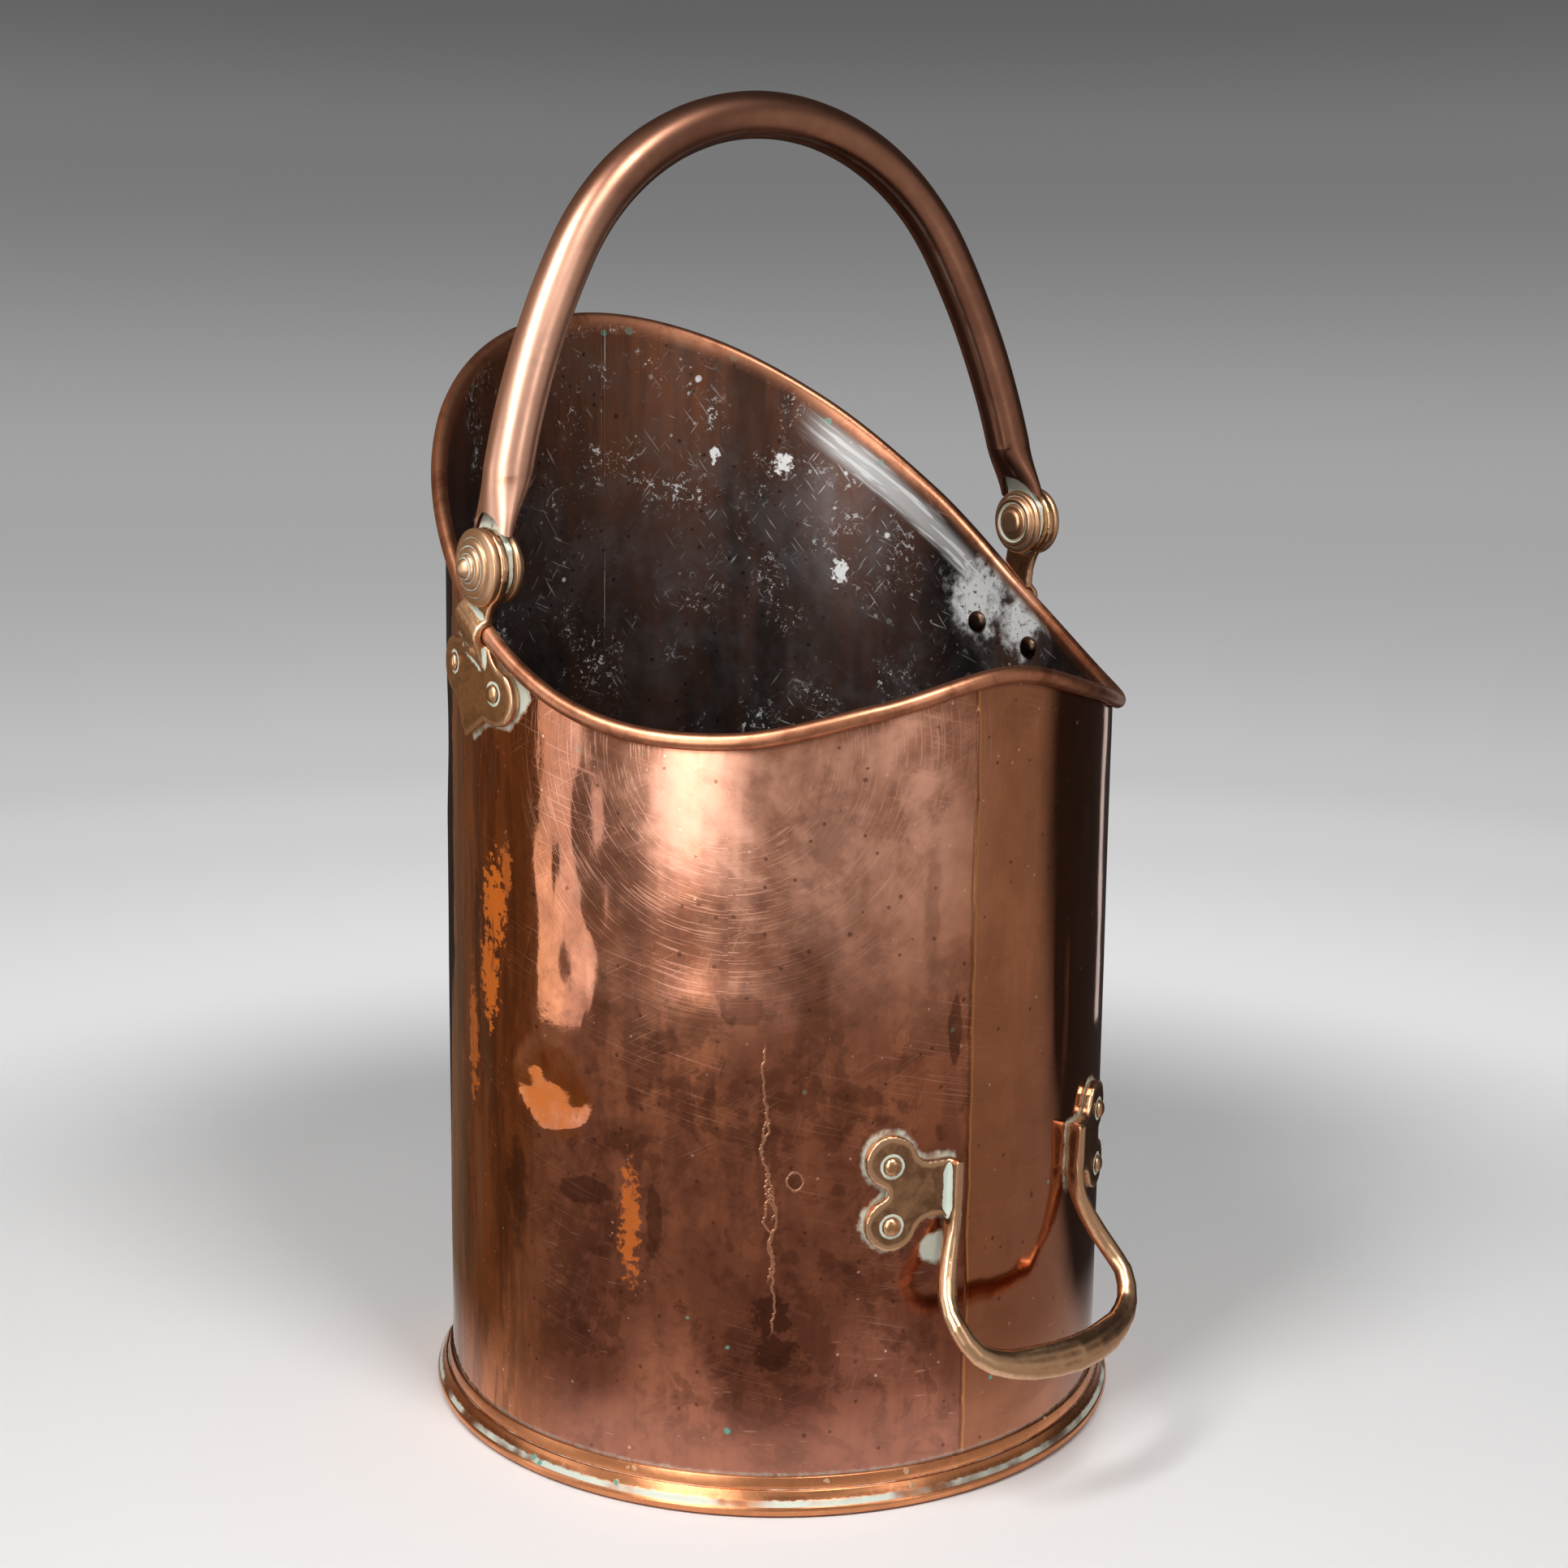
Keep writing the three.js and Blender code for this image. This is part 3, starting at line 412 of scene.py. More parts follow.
def rim_height(angle):
    spans = len(rim_rise_shares) - 1
    along = np.abs(np.arctan2(np.sin(angle), np.cos(angle))) / np.pi * spans
    start = np.minimum(np.floor(along), spans - 1).astype(int)
    t = along - start
    a, b, c, d = (rim_rise_shares[spans - abs(spans - abs(start + k))] for k in (-1, 0, 1, 2))
    curve = 0.5 * (2 * b + (c - a) * t + (2 * a - 5 * b + 4 * c - d) * t**2
                   + (3 * b - a - 3 * c + d) * t**3)
    return rim_dip_height + hood_rise * curve


def bead_point(angle, radius, turn):
    nudge = math.radians(0.5)
    slope = (rim_height(angle + nudge) - rim_height(angle - nudge)) / (2 * nudge * body_radius)
    stretch = np.hypot(1, slope)
    return round_body(bead_centre + radius * np.cos(turn), angle,
                      rim_height(angle) + radius * np.sin(turn) * stretch)


print("rim from", *(round(float(rim_height(angle)), 4) for angle in (np.pi / 4, np.pi)))

# %% [markdown]
# The body is one rolled sheet with an inner and an outer face, a curled rim and a lap seam. It
# could be a cylinder with Solidify, but the sloping rim and its curl follow a rule, so the mesh
# is laid out as sections round the body. Each point keeps its angle, its height, whether it is
# inside, and its seat on the perfect cylinder, which the dents and the finish read later.

# %% Body wall: sections round the sheet
lap_start = math.radians(-5.5)
lap_width = 10 * MM
lap_step = 0.5 * MM
foot_height = 15 * MM
wall_foot = 2 * MM

hoop_angles = np.unique(np.concatenate([
    np.linspace(-np.pi, np.pi, 350, endpoint=False),
    [lap_start - lap_step / body_radius, lap_start, lap_start + lap_width / body_radius],
]))
outer_rows, inner_rows, curl_in_rows, curl_out_rows = 118, 66, 8, 18


def wall_sections(angles):
    """Points, heights and marks of every section, from the foot up, over the curl and down."""
    rim = rim_height(angles)[:, None]
    turn = angles[:, None]
    share = np.linspace(0, 1, outer_rows)[None, :]
    height = wall_foot + (rim - wall_foot) * share
    past = (turn - lap_start) * body_radius
    lap = np.where((past < 0) | (past > lap_width), 0, lap_step * (1 - past / lap_width))
    on_lap = (height > foot_height + lap_step) & (height < rim - 3 * bead_radius)
    outer = round_body(body_radius + lap * on_lap, turn, height)
    curl_end = math.radians(-120)
    inward = np.linspace(np.pi, curl_end, curl_in_rows + 1)[None, 1:]
    outward = np.linspace(curl_end, np.pi, curl_out_rows)[None, :]
    curl_in = bead_point(turn, bead_radius - sheet, inward)
    curl_out = bead_point(turn, bead_radius, outward)
    share = np.linspace(1, 0, inner_rows + 1)[None, 1:]
    inner_height = wall_foot + (rim - wall_foot) * share
    inner = round_body(body_radius - sheet, turn, inner_height)
    points = np.concatenate([outer, curl_in, curl_out, inner], 1)
    rows = [outer_rows, curl_in_rows, curl_out_rows, inner_rows]
    inside = np.repeat([0.0, 0.0, 0.0, 1.0], rows)
    bead = np.repeat([0.0, 0.0, 1.0, 0.0], rows)
    curl_height = np.repeat(rim, curl_in_rows + curl_out_rows, 1)
    level = np.concatenate([height, curl_height, inner_height], 1)
    return points, level, inside, bead


def hoop_faces(columns, section):
    i, j = np.meshgrid(np.arange(columns), np.arange(section), indexing="ij")
    next_i, next_j = (i + 1) % columns, (j + 1) % section
    corners = [i * section + j, next_i * section + j, next_i * section + next_j,
               i * section + next_j]
    return np.stack(corners, -1).reshape(-1, 4)


wall_points, wall_level, wall_inside, wall_bead = wall_sections(hoop_angles)
columns, section = wall_level.shape
print("body wall:", columns, "sections of", section, "points")

# %% [markdown]
# The sheet is held tight by the plates riveted on it, by the rim and by the foot, and it may
# only wave in between. The mark called loose says where, from the distance to the nearest plate.

# %% Body wall: where the sheet may wave
plate_nodes = ["bracket_left", "bracket_right", "tip_handle"]


def plate_distances(seats, reach=25 * MM):
    """Distance from each seat to the nearest riveted plate, and no more than the reach."""
    found = np.full(len(seats), reach)
    for name in plate_nodes:
        low, high = (np.array(corner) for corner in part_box(name))
        near = np.all((seats > low - reach) & (seats < high + reach), 1)
        shape = bmesh.new()
        shape.from_mesh(nodes[name].data)
        tree = BVHTree.FromBMesh(shape)
        for index in np.flatnonzero(near):
            away = tree.find_nearest(Vector(seats[index]))[3]
            found[index] = min(found[index], away)
        shape.free()
    return found


def ease(value, low, high):
    share = np.clip((value - low) / (high - low), 0, 1)
    return share * share * (3 - 2 * share)


around = np.repeat(hoop_angles[:, None], section, 1)
seats = round_body(body_radius, around, wall_level).reshape(-1, 3)
plate_gap = plate_distances(seats)
below_rim = (rim_height(around) - wall_level).ravel()
loose = (ease(plate_gap, 3 * MM, 16 * MM) * ease(wall_level.ravel(), 18 * MM, 36 * MM)
         * ease(below_rim, 9 * MM, 26 * MM))

wall_mesh = bpy.data.meshes.new("copper_wall")
wall_faces = hoop_faces(columns, section).tolist()
wall_mesh.from_pydata(wall_points.reshape(-1, 3).tolist(), [], wall_faces)
for label, values in {
    "around": around, "level": wall_level, "loose": loose, "plate_gap": plate_gap,
    "below_rim": below_rim, "inside": np.tile(wall_inside, columns),
    "bead": np.tile(wall_bead, columns),
}.items():
    write_numbers(wall_mesh, label, values)
write_vectors(wall_mesh, "seat", seats)
face_outward(wall_mesh)
smooth_shading(wall_mesh)
copper_wall = link_piece("copper_wall", wall_mesh)
print("loose share of the sheet:", round(float(loose.mean()), 3))


# %% [markdown]
# Rolled and knocked about, the sheet isn't a true cylinder. Sculpting the dents by hand would be
# slow to change, so a Geometry Nodes tree moves both faces of the sheet inwards by the same
# amount: broad waves, small hammer marks, and dents from a table, with the folds of the big dent.

# %% Dents and waves of the worked sheet
def at(angle):
    """The length along the sheet's arc from the front, for an angle in degrees."""
    return math.radians(angle) * body_radius


def stored(tree, *names, kind="FLOAT"):
    return [put(tree, "GeometryNodeInputNamedAttribute", {"Name": name}, data_type=kind)
            for name in names]


def dress(geometry, finish, result):
    """Ends a tree: instances become plain faces, and all faces get the finish."""
    whole = put(geometry.tree, "GeometryNodeRealizeInstances", {"Geometry": geometry})
    feed(result, put(geometry.tree, "GeometryNodeSetMaterial",
                     {"Geometry": whole, "Material": finish}))


def dent_tree():
    tree, (arc, level, place, middle, half_width, half_height, depth, crispness), result = new_tree(
        "Dent", GEOMETRY, "Depth", Arc=0.0, Level=0.0, Place=0.0, Middle=0.0, Half_width=0.02,
        Half_height=0.02, Depth=0.002, Crispness=0.0)
    away = hypot((arc - place) / half_width, (level - middle) / half_height)
    soft = smooth_step(away, 0.0, 1.0, 1.0, 0.0)
    bowl = clamped(1.0 - reckon("POWER", away, 2.0))
    feed(result, mixed(crispness, soft, bowl) * depth)
    return tree


# angle round the body in degrees, then level, half width, half height and depth in mm, and the
# crispness of its rim
dents = [
    (-75.5, 171, 25, 20, 2.3, 0.8),
    (-80.0, 178, 9, 7, 0.7, 0.5),
    (-73.0, 181, 12, 3, 0.35, 0.6),
    (-77.5, 166, 11, 2.5, -0.25, 0.5),
    (-72.0, 160, 8, 3, 0.3, 0.6),
    (-76.0, 153, 12, 3, 0.35, 0.5),
    (-70.5, 172, 3, 10, -0.25, 0.4),
    (-71.0, 222, 12, 24, 0.9, 0.4),
    (-68.0, 284, 10, 30, 0.7, 0.2),
    (-76.0, 262, 8, 22, 0.6, 0.3),
    (-66.0, 250, 7, 16, 0.6, 0.4),
    (-73.0, 138, 18, 14, 0.8, 0.6),
    (-64.0, 130, 9, 12, 0.6, 0.5),
    (-84.0, 215, 5, 40, 0.6, 0.5),
    (-92.0, 300, 7, 26, 0.7, 0.4),
    (-98.0, 110, 9, 40, 0.7, 0.4),
    (-38.5, 92, 9, 18, 0.7, 0.2),
    (-36.0, 142, 10, 8, 0.8, 0.3),
    (-60.0, 116, 14, 26, 0.9, 0.1),
    (-22.0, 228, 26, 34, 0.7, 0.0),
    (-48.0, 232, 30, 26, 0.8, 0.0),
    (-88.0, 250, 8, 40, 0.9, 0.2),
    (-95.0, 170, 10, 36, 0.8, 0.2),
    (-66.0, 60, 30, 24, 0.8, 0.0),
    (-20.0, 62, 26, 20, 0.6, 0.0),
    (8.0, 120, 9, 50, 0.5, 0.1),
    (17.0, 210, 7, 60, 0.6, 0.1),
    (22.0, 275, 8, 20, -0.5, 0.0),
    (60.0, 180, 34, 44, 1.0, 0.0),
    (118.0, 240, 28, 22, 0.9, 0.0),
    (150.0, 330, 36, 40, 0.9, 0.0),
    (-150.0, 180, 30, 36, 0.9, 0.0),
    (-172.0, 110, 22, 18, 1.4, 0.2),
    (-120.0, 300, 26, 40, 0.8, 0.0),
]


def worked_sheet_tree():
    tree, given, result = new_tree(
        "Worked sheet", GEOMETRY, "Geometry", Geometry=SHAPE, Wave_length=0.05, Wave_depth=0.001,
        Hammer_length=0.014, Hammer_depth=0.0001, Finish=FINISH)
    geometry, wave_length, wave_depth, hammer_length, hammer_depth, finish = given
    turn, level, free = stored(tree, "around", "level", "loose")
    seat, = stored(tree, "seat", kind="FLOAT_VECTOR")
    waves = noise(squeezed(seat, 0.42), 1.0 / wave_length, 1.5) - 0.5
    hammered = noise(seat, 1.0 / hammer_length, 1.0) - 0.5
    depth = hammered * hammer_depth + waves * wave_depth
    arc, dent = turn * body_radius, dent_tree()
    for angle, *sizes, crispness in dents:
        sizes = [size * MM for size in sizes]
        depth = depth + use(dent, arc, level, at(angle), *sizes, crispness)
    inward = joined(reckon("SINE", turn) * -1.0, reckon("COSINE", turn), 0.0)
    offset = put(tree, VECTOR, {"Vector": inward, "Scale": depth * free}, operation="SCALE")
    dress(put(tree, "GeometryNodeSetPosition", {"Geometry": geometry, "Offset": offset}), finish,
          result)
    return tree


# %% [markdown]
# The wall's outside is copper that was polished for years: satin where hands and cloths reach,
# with a painted highlight laid there, brown and purple clouds elsewhere, a painted pale reflection
# of the floor just above the foot, painted orange reflections and dark streaks at the far left, and
# calm on the sheet right of the seam. It could be painted on an image, but then a change of size
# would blur it. So one material reads the marks on the sheet's points: its place round the body in
# metres of arc, its level, and how far the rim and the plates are. It starts with the tone of the
# outside.

# %% Copper wall: tones of the outside
# the first tone is bright polished metal, used for real scratches and also for painted highlights
POLISHED_AND_HIGHLIGHT = (0.93, 0.50, 0.36)
WARM = (0.68, 0.265, 0.135)
BROWN = (0.37, 0.135, 0.068)
PURPLE = (0.20, 0.070, 0.050)
UMBER = (0.085, 0.030, 0.018)
# painted reflection: a pale pink tone laid over the lowest few centimetres of the wall, for the
# bright floor near the foot
FLOOR_REFLECTION_PINK = (0.72, 0.34, 0.25)
CALM_BROWN = (0.46, 0.19, 0.095)
# the orange tone below is a painted reflection for the far left
LEFT_EDGE_REFLECTION = (0.74, 0.25, 0.06)

wall_finish, tree, place = new_finish("copper_wall_finish")
turn, level, inside, bead, gap, below = attributes(
    tree, "around", "level", "inside", "bead", "plate_gap", "below_rim")
arc = turn * body_radius
flat = joined(arc, level, 0.0)
upright = squeezed(place, 0.22)


def sector(*angles):
    """A mask between angles in degrees round the body."""
    return between(arc, *(at(angle) for angle in angles))


broad = use(tarnish, place, 11.0, 0.5, 0.12)
finer = use(tarnish, place, 42.0, 0.38, 0.09)
streaks = use(tarnish, upright, 44.0, 0.5, 0.10)
# dark upright streaks of painted reflection, used only at the far left
reflected_dark_streaks = use(tarnish, squeezed(place, 0.16), 62.0, 0.5, 0.08)
low_down = smooth_step(level, 0.25, 0.04)
right_lap = sector(-5.7, -5.3, 60, 80)
# painted reflection: the far left is laid orange, with the dark upright streaks above, for the
# reflections at the grazing edge
left_edge_reflection = sector(-160, -120, -92, -70)
flakes = (use(tarnish, place, 30.0, 0.38, 0.02) * smooth_step(level, 0.27, 0.17, 0.4, 1.0)
          * (1.0 - right_lap))
# painted highlight: the rubbed upper front gets the pale polished colour as a broad highlight, over
# its real satin roughness
rubbed_and_highlight = (sector(-84, -56, -14, 2) * smooth_step(level, 0.17, 0.28) * (1.2 - broad)
          * smooth_step(below, 0.0, 0.01))
rubbed_and_highlight = reckon("MINIMUM", rubbed_and_highlight, 1.0)
colour = layered(
    WARM, (broad, 1.0, BROWN), (streaks, 0.5, PURPLE), (low_down, 0.6, PURPLE),
    (finer, low_down * 0.3 + 0.3, UMBER), (flakes, 0.4, UMBER),
    (smooth_step(level, 0.055, 0.02), 0.3, FLOOR_REFLECTION_PINK), (rubbed_and_highlight, 0.75, POLISHED_AND_HIGHLIGHT),
    (right_lap, 0.6, CALM_BROWN), (left_edge_reflection, 0.55, LEFT_EDGE_REFLECTION), (reflected_dark_streaks * left_edge_reflection, 0.6, UMBER))
print("tones of the outside, nodes so far:", len(tree.nodes))

# %% [markdown]
# The polishing cloth left its scratches: a swirl at the front, where a hand went round and
# round, and straight ones anywhere. Dust and short dashes catch the light low down.

# %% Copper wall: scratches, dust and pits
DUST = (0.95, 0.66, 0.55)
swirl_across, swirl_up = arc - at(-45), level - 0.315
swirl_radius = hypot(swirl_across, swirl_up)
sweep = reckon("ARCTAN2", swirl_across, swirl_up) * 0.05
swirl = (use(scratches, joined(sweep, swirl_radius, 0.0), 0.0, 1500.0, 26.0, 0.75)
         * between(swirl_radius, 0.018, 0.04, 0.07, 0.13))
# turn, fineness, length and cover of each direction of scratches
straight = [use(scratches, flat, *row) for row in (
    (0.25, 1300.0, 60.0, 0.55), (-0.5, 1700.0, 50.0, 0.45), (1.9, 1100.0, 60.0, 0.3))]
rubs = (most(*straight) * smooth_step(cloud(place, 45 * MM), 0.42, 0.62)
        * (1.0 - low_down * 0.7) * (1.0 - right_lap * 0.7))
scratch = most(swirl * 0.9, rubs * 0.8)
dust = use(specks, place, 260.0, 0.10, 0.07)
pits = use(specks, place, 210.0, 0.14, 0.14)
dashes = (use(scratches, flat, 0.03, 560.0, 9.0, 0.22) * low_down
          * smooth_step(cloud(place, 30 * MM), 0.46, 0.6))
colour = layered(colour, (scratch, 0.5, POLISHED_AND_HIGHLIGHT), (pits, 0.6, UMBER),
                 (most(dust * 0.6, dashes * 0.3), 1.0, DUST))
print("scratches, nodes so far:", len(tree.nodes))

# %% [markdown]
# Ragged stains follow tables, one row each, so that a mark can be moved without touching the
# nodes. Painted orange reflections stand at the far left beside one real orange drip, dark stains
# are scattered with two painted dark reflections among them, and down the front run the
# wandering creases, painted pale along their ridges as highlights, and dried spills with their
# thin raised edges. The big dent is tinted dark with painted shade.

# %% Copper wall: stains, creases and spills
# orange of painted reflections at the far left, and of one real drip
ORANGE_REFLECTION_AND_DRIP = (0.90, 0.22, 0.025)
# dark brown of the painted shade in the big dent
DENT_SHADE = (0.33, 0.088, 0.018)
# pale tone of the real spill edges, and of the painted highlights on the creases
SPILL_EDGE_AND_CREASE_HIGHLIGHT = (0.85, 0.45, 0.27)


def stain(strength, angle, height, wide, tall, ragged=0.8, edge=0.15, fineness=110.0):
    """A ragged stain at an angle in degrees, with its height and half sizes in mm."""
    return use(stains, arc, level, at(angle), height * MM, wide * MM, tall * MM, ragged, edge,
               fineness) * strength


def crease(angle, low, high, sway, seed):
    """A thin upright line that strays from side to side by the sway, in mm."""
    stray = (cloud(joined(seed, 0.0, level), 20 * MM, 5.0) - 0.5) * (sway * MM)
    line = smooth_step(abs(arc - at(angle) - stray), 0.7 * MM, 0.21 * MM)
    return line * between(level, low * MM, (low + 6) * MM, (high - 6) * MM, high * MM)


# the first four rows are painted orange reflections at the grazing left edge; the last row is a
# real orange drip
orange_reflection_and_drip_marks = [
    (1.0, -90, 240, 9.5, 20, 3.4, 0.3, 240.0),
    (1.0, -91.5, 208, 8, 22, 3.2, 0.3, 240.0),
    (0.8, -86.5, 256, 4.5, 14, 3.0, 0.3, 240.0),
    (0.7, -98, 176, 5, 30, 3.2, 0.4, 200.0),
    (0.75, -60.6, 119, 5, 27, 3.2, 0.4, 240.0),
]
dark_stain_and_reflection_marks = [
    (1.0, -69, 128, 15, 6, 1.2),
    (1.0, -8.5, 200, 3.5, 16, 1.5),
    (0.6, -32, 228, 16, 30, 1.6, 0.6),
    (1.0, -84, 120, 8, 30, 1.8, 0.5),
    # the next two rows are not stains: they are painted dark reflections between the two bright
    # highlights
    (0.6, -30, 281, 14, 32, 2.4, 0.7),
    (0.45, -13, 250, 5, 44, 1.8, 0.6),
    (0.5, -50, 206, 16, 9, 2.6, 0.4),
    (1.0, -96, 215, 3.5, 44, 1.6, 0.4, 200.0),
    (1.0, -56.5, 120, 4, 20, 1.6, 0.3, 200.0),
]
faint_marks = [
    (1.0, -38.8, 150, 5, 22, 2.4),
    (1.0, -43, 212, 11, 7, 2.4, 0.3),
    (1.0, -66, 205, 6, 20, 2.2, 0.4),
    (1.0, -53, 150, 6, 14, 2.2, 0.4),
    (1.0, -27, 170, 8, 14, 2.0, 0.6),
    (1.0, -55, 196, 9, 6, 1.8, 0.3),
    (1.0, -48, 176, 5, 12, 1.8, 0.3),
    (1.0, -62, 152, 8, 5, 2.0, 0.3),
]
blot_marks = [(1.0, -37.6, 84, 8, 10, 2.4, 0.2, 230.0), (1.0, -37.2, 68, 9, 8, 2.4, 0.2, 230.0)]
crease_rows = [(-39.3, 148, 200, 12, 0.0), (-38.7, 122, 176, 26, 0.3), (-38.2, 96, 150, 26, 0.6),
               (-37.6, 74, 140, 16, 0.9)]

tables = (orange_reflection_and_drip_marks, dark_stain_and_reflection_marks, faint_marks, blot_marks)
orange_reflections_and_drip, dark, faint, blots = (most(*[stain(*row) for row in table]) for table in tables)
orange_reflections_and_drip = orange_reflections_and_drip * smooth_step(cloud(upright, 5 * MM), 0.30, 0.44, 0.5, 1.0)
ring_patch = stain(1.0, -34.3, 140.5, 3.6, 4.6, 0.7, 0.12, 230.0)
ring = clamped(ring_patch - stain(1.0, -34.3, 140.5, 3.0, 3.8333, 0.81667, 0.12, 230.0))
# the crease lines are painted pale as highlights along their ridges; the ring is a real spill edge
lines = most(ring, *[crease(*row) for row in crease_rows])
# painted shade: the big dent is tinted dark brown in cloudy patches
dent_shade = (stain(1.0, -75.5, 168, 26, 22, 1.4, 0.5)
           * smooth_step(cloud(place, 9 * MM, 5.0), 0.3, 0.6, 0.55, 1.0))
colour = layered(
    colour, (orange_reflections_and_drip, 1.0, ORANGE_REFLECTION_AND_DRIP), (dark, 0.6, UMBER), (most(ring_patch, faint), 0.35, UMBER),
    (blots, 0.75, UMBER), (dent_shade, 0.95, DENT_SHADE), (lines, 0.6, SPILL_EDGE_AND_CREASE_HIGHLIGHT))
print("stains:", sum(map(len, tables)), "creases:", len(crease_rows))

# %% [markdown]
# The lap seam is a dark line with a bright solder edge beside it. Polish has dried green-white
# round the plates and over the foot ring, verdigris sits in specks, and a dark band runs just
# under the bead, which is worn bright on top.

# %% Copper wall: seam, residue and bead
SEAM_DARK = (0.14, 0.055, 0.022)
SOLDER = (0.70, 0.30, 0.09)
RESIDUE = (0.70, 0.78, 0.68)
VERDIGRIS = (0.13, 0.36, 0.28)
BEAD_BRIGHT, BEAD_DARK = (0.60, 0.26, 0.145), (0.36, 0.14, 0.075)

past_lap = arc - at(-5.75) + (cloud(place, 30 * MM) - 0.5) * (4 * MM)
above_foot = smooth_step(level, 0.01, 0.02)
lap_line = smooth_step(abs(past_lap), 1.0 * MM, 0.3 * MM) * above_foot
lap_edge = smooth_step(abs(past_lap - 1.3 * MM), 0.8 * MM, 0.2 * MM) * above_foot

torn = cloud(place, 4 * MM, 6.0, 0.65)
by_rim = smooth_step(below, 22 * MM, 8 * MM, 0.0, 4.5 * MM)
by_plate = smooth_step(torn * (5 * MM) + gap - by_rim, 5.2 * MM, 2.6 * MM)
by_foot = smooth_step(torn * (4 * MM) + level, 19.2 * MM, 16.5 * MM)
residue = (most(by_plate * 0.85, by_foot * 0.5, stain(0.8, -11.3, 108, 9, 8, 0.9, 0.3))
           * (1.0 - bead * 0.7))
under_bead = smooth_step(below, 6 * MM, 3 * MM) * (1.0 - bead)
green = use(specks, place, 85.0, 0.05, 0.10) * (low_down * 0.8 + 0.2)
colour = layered(
    colour, (lap_line, 0.5, SEAM_DARK), (lap_edge, 0.7, SOLDER), (under_bead, 0.8, UMBER),
    (residue, 1.0, RESIDUE), (green, 1.0, VERDIGRIS),
    (bead, 1.0 - residue, mixed(finer, BEAD_BRIGHT, BEAD_DARK)))
print("seam and residue, nodes so far:", len(tree.nodes))

# %% [markdown]
# The inside is almost black, with rust-brown clouds and long runs under the hood, a painted grey
# sheen in clouds, and pale marks: chips, flecks, crumbs, nicks, dried spills, and a painted
# highlight streak under the hood's right edge.

# %% Copper wall: the inside
SOOT = (0.036, 0.027, 0.025)
RUST = (0.17, 0.062, 0.028)
RUN = (0.07, 0.028, 0.018)
# bluish grey of a painted sheen
GREY_SHEEN = (0.13, 0.125, 0.13)
BLACK_DOT = (0.012, 0.010, 0.010)
# pale of the real marks, and of the painted highlight streak
CHALK_AND_HIGHLIGHT = (0.90, 0.90, 0.89)

rust = use(tarnish, upright, 26.0, 0.5, 0.12)
high_up = smooth_step(level, 0.36, 0.47) * (rust * 0.5 + 0.5)
rusty = clamped(high_up * 0.75 + rust * 0.3)
runs = use(tarnish, squeezed(place, 0.12), 60.0, 0.38, 0.07)
# painted sheen: bluish-grey clouds stand for a dull reflection inside, weaker high up
grey_sheen = use(tarnish, place, 24.0, 0.40, 0.12) * (1.0 - high_up * 0.7)
dots = use(specks, place, 150.0, 0.10, 0.5)

middle = smooth_step(cloud(place, 60 * MM), 0.46, 0.62)
thick = smooth_step(cloud(place, 26 * MM), 0.50, 0.66)
chips = use(specks, place, 210.0, 0.12, 0.25)
flecks = use(specks, place, 80.0, 0.06, 0.25)
here_and_there = smooth_step(cloud(place, 30 * MM), 0.54, 0.60)
crumbs = most(use(tarnish, place, 320.0, 0.28, 0.015),
              use(tarnish, place, 170.0, 0.24, 0.012) * here_and_there)
nicks = [use(scratches, flat, *row) for row in (
    (0.9, 620.0, 9.0, 0.3), (-0.35, 520.0, 12.0, 0.25), (2.2, 700.0, 16.0, 0.3))]
marks = most(most(chips, *nicks) * middle * 0.5, crumbs * thick * 0.8, flecks * middle)
# painted highlight: a pale streak of fine lines under the hood's right edge stands for a reflection
# there
streak_lines = use(scratches, flat, -0.62, 420.0, 16.0, 0.95) + 0.6
highlight_streak = smooth_step(abs(below - 15 * MM), 11 * MM, 3 * MM) * sector(94, 104, 126, 141)
highlight_streak = reckon("MINIMUM", highlight_streak * streak_lines, 1.0)
spill_marks = [
    (1.0, 101, 352, 20, 26, 1.9, 0.6),
    (1.0, 90, 342, 16, 20, 1.9, 0.6),
    (1.0, 142.3, 416, 5, 6, 3.4, 0.3, 300.0),
    (1.0, 130.7, 361, 4, 7, 3.4, 0.3, 300.0),
    (1.0, 156, 420, 3, 4, 3.2, 0.3, 300.0),
]
spill = (most(*[stain(*row) for row in spill_marks])
         * smooth_step(cloud(place, 2.5 * MM, 6.0, 0.7), 0.36, 0.44))
pale = most(marks * 0.85, highlight_streak, spill)
rim_green = smooth_step(below, 16 * MM, 6 * MM) * high_up * use(specks, place, 130.0, 0.22, 0.22)
inner = layered(
    SOOT, (rusty, 1.0, RUST), (runs, 0.5, RUN), (grey_sheen, 0.4, GREY_SHEEN), (dots, 0.8, BLACK_DOT),
    (pale, 1.0, CHALK_AND_HIGHLIGHT), (rim_green, 1.0, VERDIGRIS))
colour = mixed(inside, colour, inner)
print("the inside, nodes so far:", len(tree.nodes))

# %% [markdown]
# Last the surface: mirror-like at the far left, satin where it was rubbed, dull where something
# dried on it. A slight relief of pebbles, ripples, creases and crust breaks up the reflections.
# Then the dents are pressed in, and the plain mesh stands for the CAD wall.

